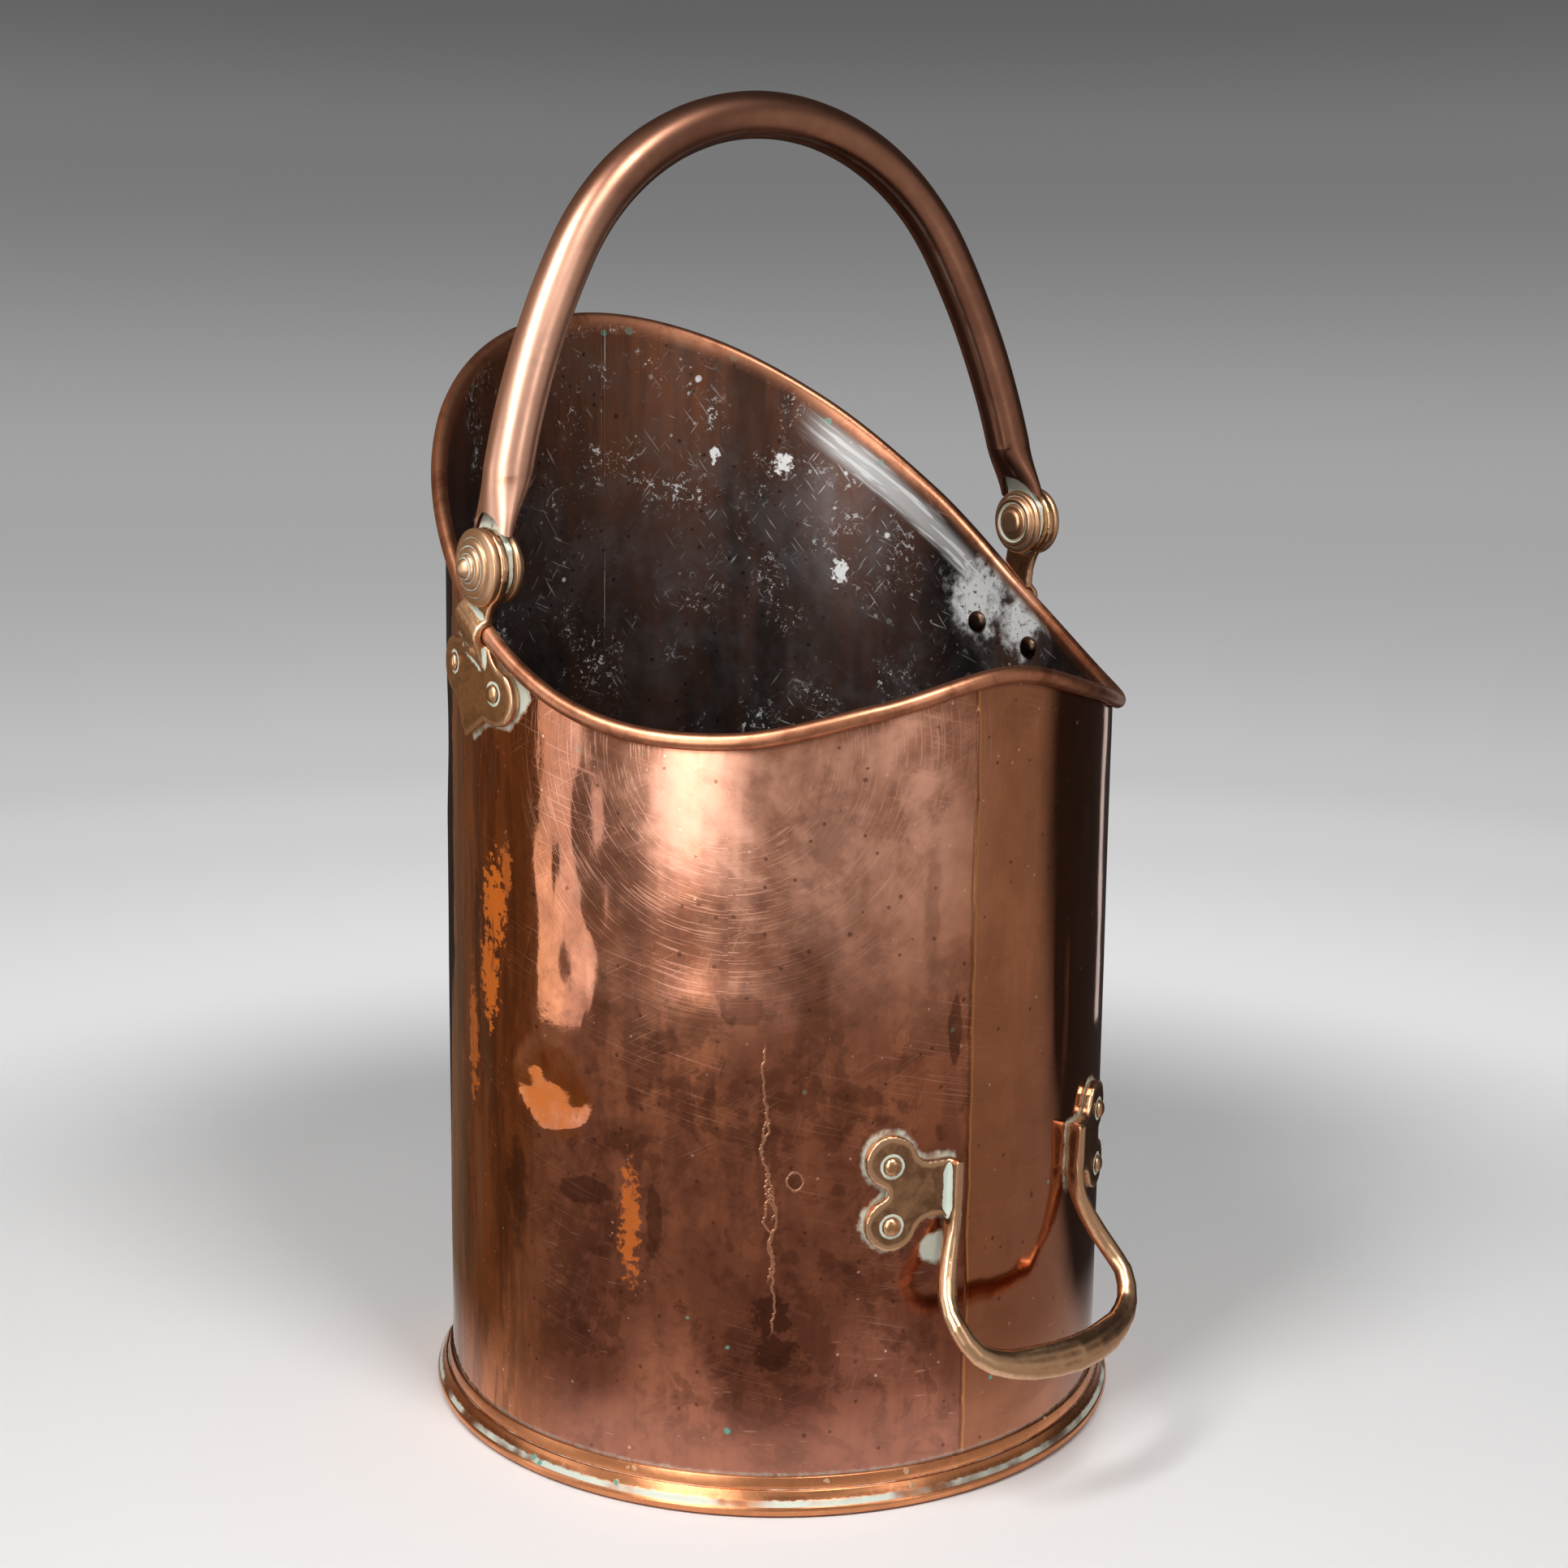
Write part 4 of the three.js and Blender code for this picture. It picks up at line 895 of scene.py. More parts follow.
# %% Copper wall: surface and hand-over
mirror_like = sector(-130, -115, -68, -57)
rough = layered(
    0.13, (broad, 1.0, 0.19), (mirror_like, 1.0, 0.06), (rubbed_and_highlight, 1.0, 0.34), (right_lap, 1.0, 0.09),
    (scratch, 0.4, 0.5), (residue, 1.0, 0.85), (bead, 1.0, 0.36), (inside, 1.0, rust * 0.12 + 0.30),
    (inside, pale, 0.55))
dull = most(residue * 0.9, inside * pale * 0.7, green, orange_reflections_and_drip * 0.6)
metal = clamped(1.0 - dull * 0.9) * mixed(inside, 1.0, 0.75)
pebble = cloud(place, 5 * MM, 3.0) * (0.03 * MM)
ripple = cloud(upright, 16 * MM, 2.0) * (0.26 * MM)
calm = (1.0 - right_lap * 0.75) * (1.0 - bead) * (left_edge_reflection * 0.9 + 1.0)
relief = ((pebble + ripple) * calm + lines * (0.12 * MM) - scratch * (0.006 * MM)
          + residue * (0.10 * MM))
close_finish(tree, colour, rough, metal, relief)
add_tree(copper_wall, worked_sheet_tree(), Wave_length=55 * MM, Wave_depth=1.3 * MM,
         Hammer_length=18 * MM, Hammer_depth=0.16 * MM, Finish=wall_finish)
settle(copper_wall)
hand_over(copper_wall, "bin", "copper_sheet", "body_wall")


# %% [markdown]
# The other copper pieces, the foot ring, the base pan and the bail's tube, share one recipe with
# their own colours: a bright tone, a darker tarnish, fine scratches and a few green specks. The
# mark called hollow is high in grooves, where polish dries white and the colour is darker. The
# bail's crown and right leg are darkened with painted shade, and the number called crown says how
# dark they are.

# %% Finish of plain copper pieces
GROOVE_DARK = (0.07, 0.03, 0.02)
# light and dark tones of the painted shade on the bail's crown and right side
CROWN_BRIGHT, CROWN_DARK = (0.30, 0.115, 0.062), (0.15, 0.052, 0.028)


def copper_finish(name, bright, dark, cover, scale, scratched, residue_share, green_share,
                  unevenness=1.0, dullness=0.0, crown=0.0):
    material, tree, place = new_finish(name)
    hollow, = attributes(tree, "hollow")
    broad = use(tarnish, place, scale, cover, 0.12)
    finer = use(tarnish, place, scale * 3.5, 0.4, 0.05)
    scratch = most(*[use(scratches, squeezed(place, 0.0), turn, 1400.0, 45.0, scratched)
                     for turn in (0.4, 1.7)])
    across, _, height = split(place)
    # painted shade: the top of the crown and the right side of the tube are darkened
    painted_tube_shade = most(smooth_step(height, 0.48, 0.55), smooth_step(across, -0.06, 0.02)) * crown
    groove = smooth_step(cloud(place, 3 * MM, 6.0, 0.65) * 0.9 + hollow, 0.62, 0.95)
    # darker in grooves and hollows
    groove_dark = groove * 0.6
    residue = groove * smooth_step(cloud(place, 30 * MM, 3.0), 0.36, 0.56) * residue_share
    green = (use(specks, place, 190.0, 0.2, 0.3) * green_share
             * smooth_step(cloud(place, 22 * MM, 3.0), 0.54, 0.62))
    worn = smooth_step(hollow, -0.15, -0.6) * (1.0 - painted_tube_shade)
    colour = layered(
        bright, (broad, 1.0, dark), (finer, 0.35, UMBER), (scratch, 0.25, POLISHED_AND_HIGHLIGHT),
        (painted_tube_shade, 1.0, mixed(broad, CROWN_BRIGHT, CROWN_DARK)), (groove_dark, 1.0, GROOVE_DARK),
        (residue, 1.0, RESIDUE), (green, 1.0, VERDIGRIS), (worn, 0.6, bright))
    dull = most(residue, green)
    rough = layered(0.22 + dullness, (broad, 1.0, 0.32 + dullness),
                    (most(dull, groove_dark * 0.7), 1.0, 0.8))
    pebble = cloud(place, 4 * MM) * (0.08 * MM * unevenness)
    wave = cloud(place, 18 * MM, 2.0) * (0.25 * MM * unevenness)
    close_finish(tree, colour, rough, clamped(1.0 - dull * 0.9), dull * (0.08 * MM) + pebble + wave)
    return material


foot_finish = copper_finish(
    "copper_foot_finish", (0.74, 0.31, 0.14), (0.40, 0.145, 0.06), cover=0.5, scale=18.0,
    scratched=0.3, residue_share=0.8, green_share=1.0, unevenness=0.5)
pan_finish = copper_finish(
    "copper_pan_finish", (0.40, 0.18, 0.10), (0.12, 0.05, 0.03), cover=0.6, scale=14.0,
    scratched=0.4, residue_share=0.2, green_share=0.3)
tube_finish = copper_finish(
    "copper_tube_finish", (0.93, 0.55, 0.40), (0.52, 0.24, 0.15), cover=0.62, scale=9.0,
    scratched=0.3, residue_share=0.1, green_share=0.0, unevenness=0.3, dullness=0.05, crown=0.85)
print("copper finishes:", foot_finish.name, pan_finish.name, tube_finish.name)

# %% [markdown]
# The cast and forged pieces are a golden-brown bronze. Their edges are worn bright, and in their
# corners and round the rivets polish has dried to a green-white crust. The wires, of which only
# an edge could ever be seen, keep their CAD shape and are plain iron with some rust.

# %% Finish of the bronze and iron pieces
CAST_SHADE = (0.10, 0.055, 0.028)
CAST_WORN = (0.80, 0.50, 0.30)
# dark tone for hollows
CAST_GROOVE_DARK = (0.05, 0.034, 0.02)
CAST_SOOT = (0.03, 0.022, 0.02)


def bronze_finish(name, bright, dark, unevenness, crusted=0.0, dullness=0.0):
    material, tree, place = new_finish(name)
    hollow, ringed, sooty = attributes(tree, "hollow", "ringed", "sooty")
    broad = use(tarnish, place, 48.0, 0.5, 0.12)
    finer = use(tarnish, place, 190.0, 0.4, 0.06)
    pits = use(specks, place, 420.0, 0.12, 0.25)
    torn = cloud(place, 2.6 * MM, 6.0, 0.65)
    worn = smooth_step(hollow * -1.0, 0.12, 0.55)
    # darker in hollows
    groove_dark = smooth_step(torn * 0.6 + hollow, 0.38, 0.6)
    crust = most(smooth_step(torn * 0.8 + hollow, 0.52, 0.80),
                 smooth_step(torn * 0.9 + ringed, 0.95, 1.2))
    patchy = smooth_step(cloud(place, 7 * MM, 5.0), 0.33, 0.44) * crusted
    residue = most(crust * 0.9, patchy)
    colour = layered(
        bright, (broad, 1.0, dark), (finer, 0.3, CAST_SHADE), (worn, 0.7, CAST_WORN),
        (groove_dark, 0.7, CAST_GROOVE_DARK), (residue, 1.0, RESIDUE), (sooty, 0.9, CAST_SOOT))
    rough = layered(0.24 + dullness, (broad, 1.0, 0.34 + dullness),
                    (most(residue, groove_dark * 0.5), 1.0, 0.8))
    pebble = cloud(place, 2.5 * MM) * (0.06 * MM * unevenness)
    wave = cloud(place, 9 * MM, 2.0) * (0.18 * MM * unevenness)
    relief = residue * (0.06 * MM) + pebble + wave - pits * (0.06 * MM * unevenness)
    close_finish(tree, colour, rough, clamped(1.0 - residue * 0.9), relief)
    return material


def iron_finish():
    material, tree, place = new_finish("iron_wire_finish")
    rust = use(tarnish, place, 120.0, 0.5, 0.1)
    iron, rusted = (0.10, 0.09, 0.085), (0.20, 0.08, 0.035)
    close_finish(tree, mixed(rust, iron, rusted), mixed(rust, 0.5, 0.85), mixed(rust, 0.9, 0.2),
                 cloud(place, 2 * MM) * (0.1 * MM))
    return material


plate_finish = bronze_finish(
    "bronze_plate_finish", (0.80, 0.46, 0.23), (0.46, 0.24, 0.11), unevenness=0.6)
handle_finish = bronze_finish(
    "bronze_handle_finish", (0.50, 0.29, 0.16), (0.22, 0.12, 0.065), unevenness=0.5)
tongue_finish = bronze_finish(
    "bronze_tongue_finish", (0.52, 0.31, 0.165), (0.22, 0.125, 0.065), unevenness=0.8, crusted=0.9)
knob_finish = bronze_finish(
    "bronze_knob_finish", (0.38, 0.19, 0.10), (0.16, 0.08, 0.042), unevenness=0.2, dullness=0.12)
wire_finish = iron_finish()
for name in ("rim_wire", "foot_wire"):
    nodes[name].data.materials.clear()
    nodes[name].data.materials.append(wire_finish)
print("bronze finishes:", plate_finish.name, knob_finish.name, "and", wire_finish.name)


# %% [markdown]
# Hollows and edges are found on the finished mesh: each point is compared with the average of
# its neighbours after a few rounds of smoothing. A point below that average lies in a hollow.

# %% Finding hollows and rings
def mark_hollows(piece, rounds, full):
    """Marks from -1 on edges to 1 in hollows, which a depth called full or more reaches."""
    mesh = piece.data
    points = points_of(mesh)
    edges = np.zeros(len(mesh.edges) * 2, np.int32)
    mesh.edges.foreach_get("vertices", edges)
    ends = edges.reshape(-1, 2)
    pairs = np.concatenate([ends, ends[:, ::-1]])
    count = np.maximum(np.bincount(pairs[:, 0], minlength=len(points)), 1)
    smooth = points.copy()
    for _ in range(rounds):
        smooth = np.stack([np.bincount(pairs[:, 0], smooth[pairs[:, 1], k], len(points)) / count
                           for k in range(3)], 1)
    normals = np.zeros(len(points) * 3, np.float32)
    mesh.vertex_normals.foreach_get("vector", normals)
    depth = ((smooth - points) * normals.reshape(-1, 3)).sum(1)
    write_numbers(mesh, "hollow", np.clip(depth / full, -1, 1))
    return depth


def mark_rings(piece, centres, directions, radius, width):
    """A mark that is 1 on a circle round each line, where polish gathers by a rivet's head."""
    points = points_of(piece.data)
    ring = np.zeros(len(points))
    for centre, direction in zip(centres, directions):
        offset = points - centre
        out = offset @ direction
        away = np.linalg.norm(offset - np.outer(out, direction), axis=1)
        near = np.abs(out) < 12 * MM
        ring = np.maximum(ring, near * np.exp(-(((away - radius) / width) ** 2)))
    write_numbers(piece.data, "ringed", ring)


# %% [markdown]
# Foot ring, base pan, knobs, washers, pins and rivets are all turned about an axis. Spin would
# do, but one Geometry Nodes tree makes them all from an outline: the outline is carried round a
# circle, and each point is placed by its reach from the axis, its rise and its turn.

# %% The tree for turned pieces
def marked_circle(tree, steps, radius):
    """A circle whose points keep their turn in radians."""
    circle = put(tree, "GeometryNodeCurvePrimitiveCircle", {"Resolution": steps, "Radius": radius})
    turn = put(tree, "GeometryNodeInputIndex") / steps * (2 * math.pi)
    return put(tree, "GeometryNodeStoreNamedAttribute",
               {"Geometry": circle, "Name": "turn", "Value": turn}, data_type="FLOAT")


def turned_piece_tree():
    tree, (geometry, steps, finish), result = new_tree(
        "Turned piece", GEOMETRY, "Geometry", Geometry=SHAPE, Steps=64, Finish=FINISH)
    outline = put(tree, "GeometryNodeMeshToCurve", {"Mesh": geometry})
    swept = put(tree, "GeometryNodeCurveToMesh", {
        "Curve": marked_circle(tree, steps, 1.0), "Profile Curve": outline})
    reach, rise, angle = stored(tree, "reach", "rise", "turn")
    place = joined(reach * reckon("SINE", angle), reach * reckon("COSINE", angle) * -1.0, rise)
    placed = put(tree, "GeometryNodeSetPosition", {"Geometry": swept, "Position": place})
    dress(put(tree, "GeometryNodeMergeByDistance", {"Geometry": placed, "Distance": 1e-6}),
          finish, result)
    return tree


turned_tree = turned_piece_tree()


def softened(outline, radius, closed, steps=4):
    """The outline with each corner rounded by a few points."""
    corners = [np.array(point, float) for point in outline]
    count = len(corners)
    found = []
    for i, corner in enumerate(corners):
        if not closed and i in (0, count - 1):
            found.append(corner)
            continue
        before, after = corners[i - 1], corners[(i + 1) % count]
        reach_in = min(radius, 0.45 * np.linalg.norm(before - corner))
        reach_out = min(radius, 0.45 * np.linalg.norm(after - corner))
        start = corner + (before - corner) / np.linalg.norm(before - corner) * reach_in
        end = corner + (after - corner) / np.linalg.norm(after - corner) * reach_out
        for t in np.linspace(0, 1, steps):
            found.append((1 - t) ** 2 * start + 2 * t * (1 - t) * corner + t**2 * end)
    return np.array(found)


def turned_piece(name, outline, closed, steps, finish, matrix):
    """A turned piece from an outline of (reach, rise) in metres, put in place by a matrix."""
    count = len(outline)
    mesh = bpy.data.meshes.new(name)
    edges = [(i, i + 1) for i in range(count - 1)] + ([(count - 1, 0)] if closed else [])
    mesh.from_pydata([(reach, 0, rise) for reach, rise in outline], edges, [])
    write_numbers(mesh, "reach", outline[:, 0])
    write_numbers(mesh, "rise", outline[:, 1])
    piece = link_piece(name, mesh)
    add_tree(piece, turned_tree, Steps=steps, Finish=finish)
    made = settle(piece)
    face_outward(made)
    made.transform(matrix)
    smooth_shading(made, 50)
    return piece


# %% [markdown]
# The foot is a stepped copper ring soldered round the wall, with its lower edge rolled over a
# wire. The base pan closes the bottom a little above the floor.

# %% Foot ring and base pan
foot_reach = 7.1 * MM
foot_curl = 2.9 * MM * math.cos(math.pi / 8)
foot_centre = body_radius + foot_reach - foot_curl
inner_foot = body_radius + seat_gap
band = body_radius + 2.2 * MM


def foot_curl_points(radius, start, end, count):
    turns = np.radians(np.linspace(start, end, count))
    return [(foot_centre + radius * math.cos(a), foot_curl + radius * math.sin(a)) for a in turns]


step_points = softened([
    (inner_foot, 15 * MM), (inner_foot + 1 * MM, 15 * MM), (band, 11.2 * MM), (band, 10.2 * MM),
    (body_radius + 3.2 * MM, 10.2 * MM), (foot_centre + 1.35 * MM, foot_curl + 2.3 * MM)],
    0.35 * MM, False)
foot_outline = np.array([
    *step_points[:-1],
    *foot_curl_points(foot_curl, 60, -157, 22),
    *foot_curl_points(foot_curl - 1 * MM, -157, 67, 16),
    (band, 9.2 * MM), (inner_foot, 10.2 * MM)])
to_body_axis = Matrix.Translation((0, axis_y, 0))
copper_foot = turned_piece("copper_foot", foot_outline, True, 300, foot_finish, to_body_axis)
mark_hollows(copper_foot, 6, 0.16 * MM)
hand_over(copper_foot, "bin", "copper_foot", "foot_ring")

pan_radius = body_radius - sheet - seat_gap
pan_top = 12 * MM
pan_underside = pan_top - sheet
pan_outline = softened([
    (0, pan_top), (60 * MM, pan_top), (120 * MM, pan_top), (pan_radius - 3 * MM, pan_top),
    (pan_radius, 9 * MM), (pan_radius, 3 * MM), (pan_radius - sheet, 3 * MM),
    (pan_radius - sheet, 9 * MM), (pan_radius - 3 * MM, pan_underside),
    (120 * MM, pan_underside), (60 * MM, pan_underside), (0, pan_underside)], 0.5 * MM, False)
copper_pan = turned_piece("copper_pan", pan_outline, False, 160, pan_finish, to_body_axis)
mark_hollows(copper_pan, 4, 0.5 * MM)
hand_over(copper_pan, "bin", "copper_bottom", "base_pan")

# %% [markdown]
# The bail turns on two pins. Outside the eye of each bracket sits a stepped knob, and inside the
# bail's tongue a ringed washer. The pin line is a little lower on the left than on the right.

# %% Knobs, washers and pins
pivot_height = float(rim_height(np.pi / 2)) + 32.1 * MM
pin_tilt = math.radians(-1.8)
pin_frame = Matrix.Translation((0, axis_y, pivot_height)) @ Matrix.Rotation(pin_tilt, 4, "Y")
tongue_face = 147.3 * MM
tongue_middle = tongue_face + 1.65 * MM
eye_face = tongue_face + 3.6 * MM
knob_face = eye_face + 4.3 * MM
washer_face = tongue_face - 0.3 * MM
bore = 4.3 * MM
knob_radius, knob_rim_rise, knob_step_rise, knob_seat = 16.2 * MM, 3.3 * MM, 7.7 * MM, 5 * MM
washer_radius, washer_rim, washer_rise, washer_depth = 15.4 * MM, 3.2 * MM, 2.4 * MM, 5.6 * MM
pin_radius, pin_head = 4 * MM, 6.3 * MM


def shares(table, reach, foot, rise):
    """Outline points from a table of shares of a reach, and of a rise over a foot."""
    return [(reach * across, foot + rise * up) for across, up in table]


knob_rim = shares([(0.97, 0), (1, 0.25), (1, 0.8), (0.94, 1)], knob_radius, 0, knob_rim_rise)
knob_steps = shares([
    (0.80, 0.10), (0.765, 0.0), (0.745, 0.16), (0.71, 0.27), (0.60, 0.30), (0.555, 0.22),
    (0.53, 0.36), (0.49, 0.44), (0.41, 0.46), (0.375, 0.38), (0.35, 0.52), (0.31, 0.60),
    (0.27, 0.60), (0.235, 0.72), (0.17, 0.88), (0.08, 0.98), (0, 1)],
    knob_radius, knob_rim_rise, knob_step_rise)
knob_outline = softened(
    [(0, knob_seat), (bore, knob_seat), (bore, 0), *knob_rim, *knob_steps], 0.7 * MM, False)
washer_outline = softened([
    (bore, 0), (washer_radius - 0.5 * MM, 0), (washer_radius, 1.6 * MM),
    *shares([(0.95, 0), (0.84, 0), (0.82, -0.1), (0.79, 0.7), (0.75, 0.95), (0.70, 1), (0.64, 0.85),
             (0.60, 0.45), (0.57, 0.5), (0.54, 0.9), (0.50, 1)],
            washer_radius, washer_rim, washer_rise),
    (bore, washer_depth)], 0.5 * MM, True)
pin_start = washer_face - washer_depth - seat_gap
pin_length = knob_face + knob_seat - seat_gap - pin_start
pin_outline = softened([
    (0, -1.4 * MM), (5 * MM, -1.4 * MM), (pin_head, -0.7 * MM), (pin_head, 0), (pin_radius, 0),
    (pin_radius, pin_length), (0, pin_length)], 0.4 * MM, False)

for side, word in ((-1, "left"), (1, "right")):
    for part, outline, closed, distance, outward in (
        ("knob", knob_outline, False, knob_face, 1),
        ("washer", washer_outline, True, washer_face, -1),
        ("pin", pin_outline, False, pin_start, 1),
    ):
        spot = (pin_frame @ Matrix.Translation((side * distance, 0, 0))
                @ Matrix.Rotation(math.radians(90 * side * outward), 4, "Y"))
        piece = turned_piece(f"{part}_{word}", outline, closed, 72, knob_finish, spot)
        mark_hollows(piece, 8, 0.075 * MM)
        write_numbers(piece.data, "ringed", np.zeros(len(piece.data.vertices)))
        hand_over(piece, "bin", "bronze", f"pivot_{part}_{word}")

# %% [markdown]
# Eight rivets hold the brackets and the tipping handle. They are one shape set at eight places,
# so Geometry Nodes put an instance on each point, turned to the wall and a little uneven in size,
# as hand-set rivets are.

# %% Rivets
rivet_nodes = sorted(name for name in nodes if "_rivet_" in name)
rivet_seat = 4.6 * MM
burr_seat = -(sheet + 0.45 * MM)
shank = 2.5 * MM
rivet_outline = softened([
    (0, burr_seat - 2.6 * MM), (3.4 * MM, burr_seat - 2.2 * MM), (5.1 * MM, burr_seat - 1.2 * MM),
    (5.5 * MM, burr_seat - 0.3 * MM), (5.4 * MM, burr_seat), (shank, burr_seat),
    (shank, rivet_seat), (3.85 * MM, rivet_seat), (3.7 * MM, rivet_seat + 0.8 * MM),
    (2.7 * MM, rivet_seat + 1.7 * MM), (1.3 * MM, rivet_seat + 2.1 * MM),
    (0, rivet_seat + 2.2 * MM)], 0.5 * MM, False)
rivet_shape = turned_piece("rivet_shape", rivet_outline, False, 28, plate_finish,
                           Matrix.Identity(4))
mark_hollows(rivet_shape, 3, 0.3 * MM)
write_numbers(rivet_shape.data, "ringed", np.zeros(len(rivet_shape.data.vertices)))
write_numbers(rivet_shape.data, "sooty", points_of(rivet_shape.data)[:, 2] < 0)


def rivet_tree():
    tree, (points, rivet, smallest, seed, finish), result = new_tree(
        "Rivets on the wall", GEOMETRY, "Geometry", Geometry=SHAPE, Rivet="NodeSocketObject",
        Smallest=0.96, Seed=3, Finish=FINISH)
    shape = add_node(tree, "GeometryNodeObjectInfo", {"Object": rivet}).outputs["Geometry"]
    facing, = stored(tree, "facing", kind="FLOAT_VECTOR")
    size = add_node(tree, "FunctionNodeRandomValue", {"Seed": seed, 2: smallest, 3: 1.0},
                    data_type="FLOAT").outputs[1]
    dress(put(tree, "GeometryNodeInstanceOnPoints", {
        "Points": points, "Instance": Value(shape), "Rotation": facing, "Scale": Value(size)}),
        finish, result)
    return tree


rivet_centres, rivet_directions, rivet_turns = [], [], []
for name in rivet_nodes:
    low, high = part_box(name)
    middle = (low + high) / 2
    angle = math.atan2(middle.x, axis_y - middle.y)
    direction = np.array([math.sin(angle), -math.cos(angle), 0.0])
    rivet_centres.append(round_body(body_radius, angle, middle.z))
    rivet_directions.append(direction)
    rivet_turns.append(Vector(direction).to_track_quat("Z", "Y").to_euler())
rivet_points = bpy.data.meshes.new("rivets")
rivet_points.from_pydata([tuple(point) for point in rivet_centres], [], [])
write_vectors(rivet_points, "facing", np.array(rivet_turns))
rivets = link_piece("rivets", rivet_points)
add_tree(rivets, rivet_tree(), Rivet=rivet_shape, Smallest=0.96, Seed=3, Finish=plate_finish)
settle(rivets)
bpy.data.objects.remove(rivet_shape)
hand_over(rivets, "bin", "bronze", *rivet_nodes)

# %% [markdown]
# The bail is a copper tube rolled from sheet with its seam underneath, bent to an arch and
# pinched flat at both ends over the tongues. A curve with a bevel can't change from round to
# oval, so Geometry Nodes carry a circle along the path and place each point by the half
# thickness and half width stored there. The tube is hollow: a thinner one is taken out of it, and
# two rods cut each end round the pin and arch it over the tongue.

# %% The bail's path
crown_radius, crown_rise, crown_angle = 120 * MM, 67.5 * MM, math.radians(59.5)
leg_radius = 335 * MM
bail_radius = 10.3 * MM
pinch_start, pinch_end = 38 * MM, 12 * MM
pinched_thick, pinched_wide = 6 * MM, 13 * MM
leg_centre = ((crown_radius - leg_radius) * math.sin(crown_angle),
              crown_rise + (crown_radius - leg_radius) * math.cos(crown_angle))
leg_end = math.acos((pinch_start - leg_centre[1]) / leg_radius)
leg_foot = leg_centre[0] + leg_radius * math.sin(leg_end)


def bail_half():
    """Rows of reach, rise, lean, half thickness and half width from the crown to the pinch."""
    rows = []
    for (reach, rise), radius, turns in (
        ((0, crown_rise), crown_radius, np.linspace(0, crown_angle, 46)),
        (leg_centre, leg_radius, np.linspace(crown_angle, leg_end, 34)[1:]),
    ):
        rows += [(reach + radius * math.sin(turn), rise + radius * math.cos(turn), turn,
                  bail_radius, bail_radius) for turn in turns]
    outer_start = leg_foot + bail_radius
    outer_end = tongue_middle + pinched_thick
    for t in np.linspace(0, 1, 16)[1:]:
        share = ease(t, 0, 1)
        thick = bail_radius + (pinched_thick - bail_radius) * share
        wide = bail_radius + (pinched_wide - bail_radius) * share
        outer = outer_start + (outer_end - outer_start) * t
        rise = pinch_start + (pinch_end - pinch_start) * t
        rows.append((outer - thick, rise, math.pi / 2, thick, wide))
    return np.array(rows)


half = bail_half()
left_half = half[:0:-1] * np.array([-1, 1, -1, 1, 1])
bail_rows = np.concatenate([left_half, half])
bail_places = np.stack([bail_rows[:, 0], np.zeros(len(bail_rows)), bail_rows[:, 1]], 1)
bail_out = np.stack([np.sin(bail_rows[:, 2]), np.zeros(len(bail_rows)), np.cos(bail_rows[:, 2])], 1)
print("bail path of", len(bail_rows), "points, top at", round(float(bail_places[:, 2].max()), 4))


# %% [markdown]
# The tube's tree sweeps the circle and sets each point, first for the outside with its seam and
# slight unevenness, then for the inside. A Boolean takes the inside and the four rods out.

# %% The bail's tube
def bail_tree():
    tree, given, result = new_tree(
        "Bail tube", GEOMETRY, "Geometry", Geometry=SHAPE, Sides=56, Wall=0.0014, Seam_depth=0.0003,
        End_radius=0.0178, Arch_radius=0.011, Arch_rise=0.0114, Pin_reach=0.149, Finish=FINISH)
    geometry, sides, wall, seam_depth, end_radius, arch_radius, arch_rise, pin_reach, finish = given
    swept = put(tree, "GeometryNodeCurveToMesh", {
        "Curve": put(tree, "GeometryNodeMeshToCurve", {"Mesh": geometry}),
        "Profile Curve": marked_circle(tree, sides, 1 * MM), "Fill Caps": True})
    round_turn, thick, wide = stored(tree, "turn", "thick", "wide")
    place, out = stored(tree, "place", "out", kind="FLOAT_VECTOR")

    # The seam is a shallow groove on the inner side of the arch, a little towards the front.
    seam_turn, seam_reach = 2.64, 0.16
    groove = smooth_step(abs(round_turn - seam_turn), seam_reach, 0.0) * seam_depth
    uneven = (noise(place, 22.0) - 0.6) * (0.5 * MM)

    def tube(inset, surface):
        outward, sideways = ((size - inset + surface) * reckon(way, round_turn)
                             for size, way in ((thick, "COSINE"), (wide, "SINE")))
        pushed = put(tree, VECTOR, {"Vector": out, "Scale": outward}, operation="SCALE")
        offset = reckon("ADD", pushed, joined(0.0, sideways * -1.0, 0.0), kind=VECTOR)
        return put(tree, "GeometryNodeSetPosition", {
            "Geometry": swept, "Position": reckon("ADD", place, offset, kind=VECTOR)})

    hollow = add_node(tree, "GeometryNodeMeshBoolean", {
        "Mesh 1": tube(0.0, reckon("MINIMUM", uneven, 0.0) - groove), "Mesh 2": tube(wall, 0.0)},
        operation="DIFFERENCE", solver="EXACT")
    for radius, rise in ((end_radius, 0.0), (arch_radius, arch_rise)):
        for side in (-1.0, 1.0):
            rod = put(tree, "GeometryNodeMeshCylinder", {
                "Vertices": 64, "Radius": radius, "Depth": 34 * MM})
            feed(hollow.inputs["Mesh 2"], put(tree, "GeometryNodeTransform", {
                "Geometry": rod, "Translation": joined(pin_reach * side, 0.0, rise),
                "Rotation": (0.0, math.pi / 2, 0.0)}))
    dress(Value(hollow.outputs[0]), finish, result)
    return tree


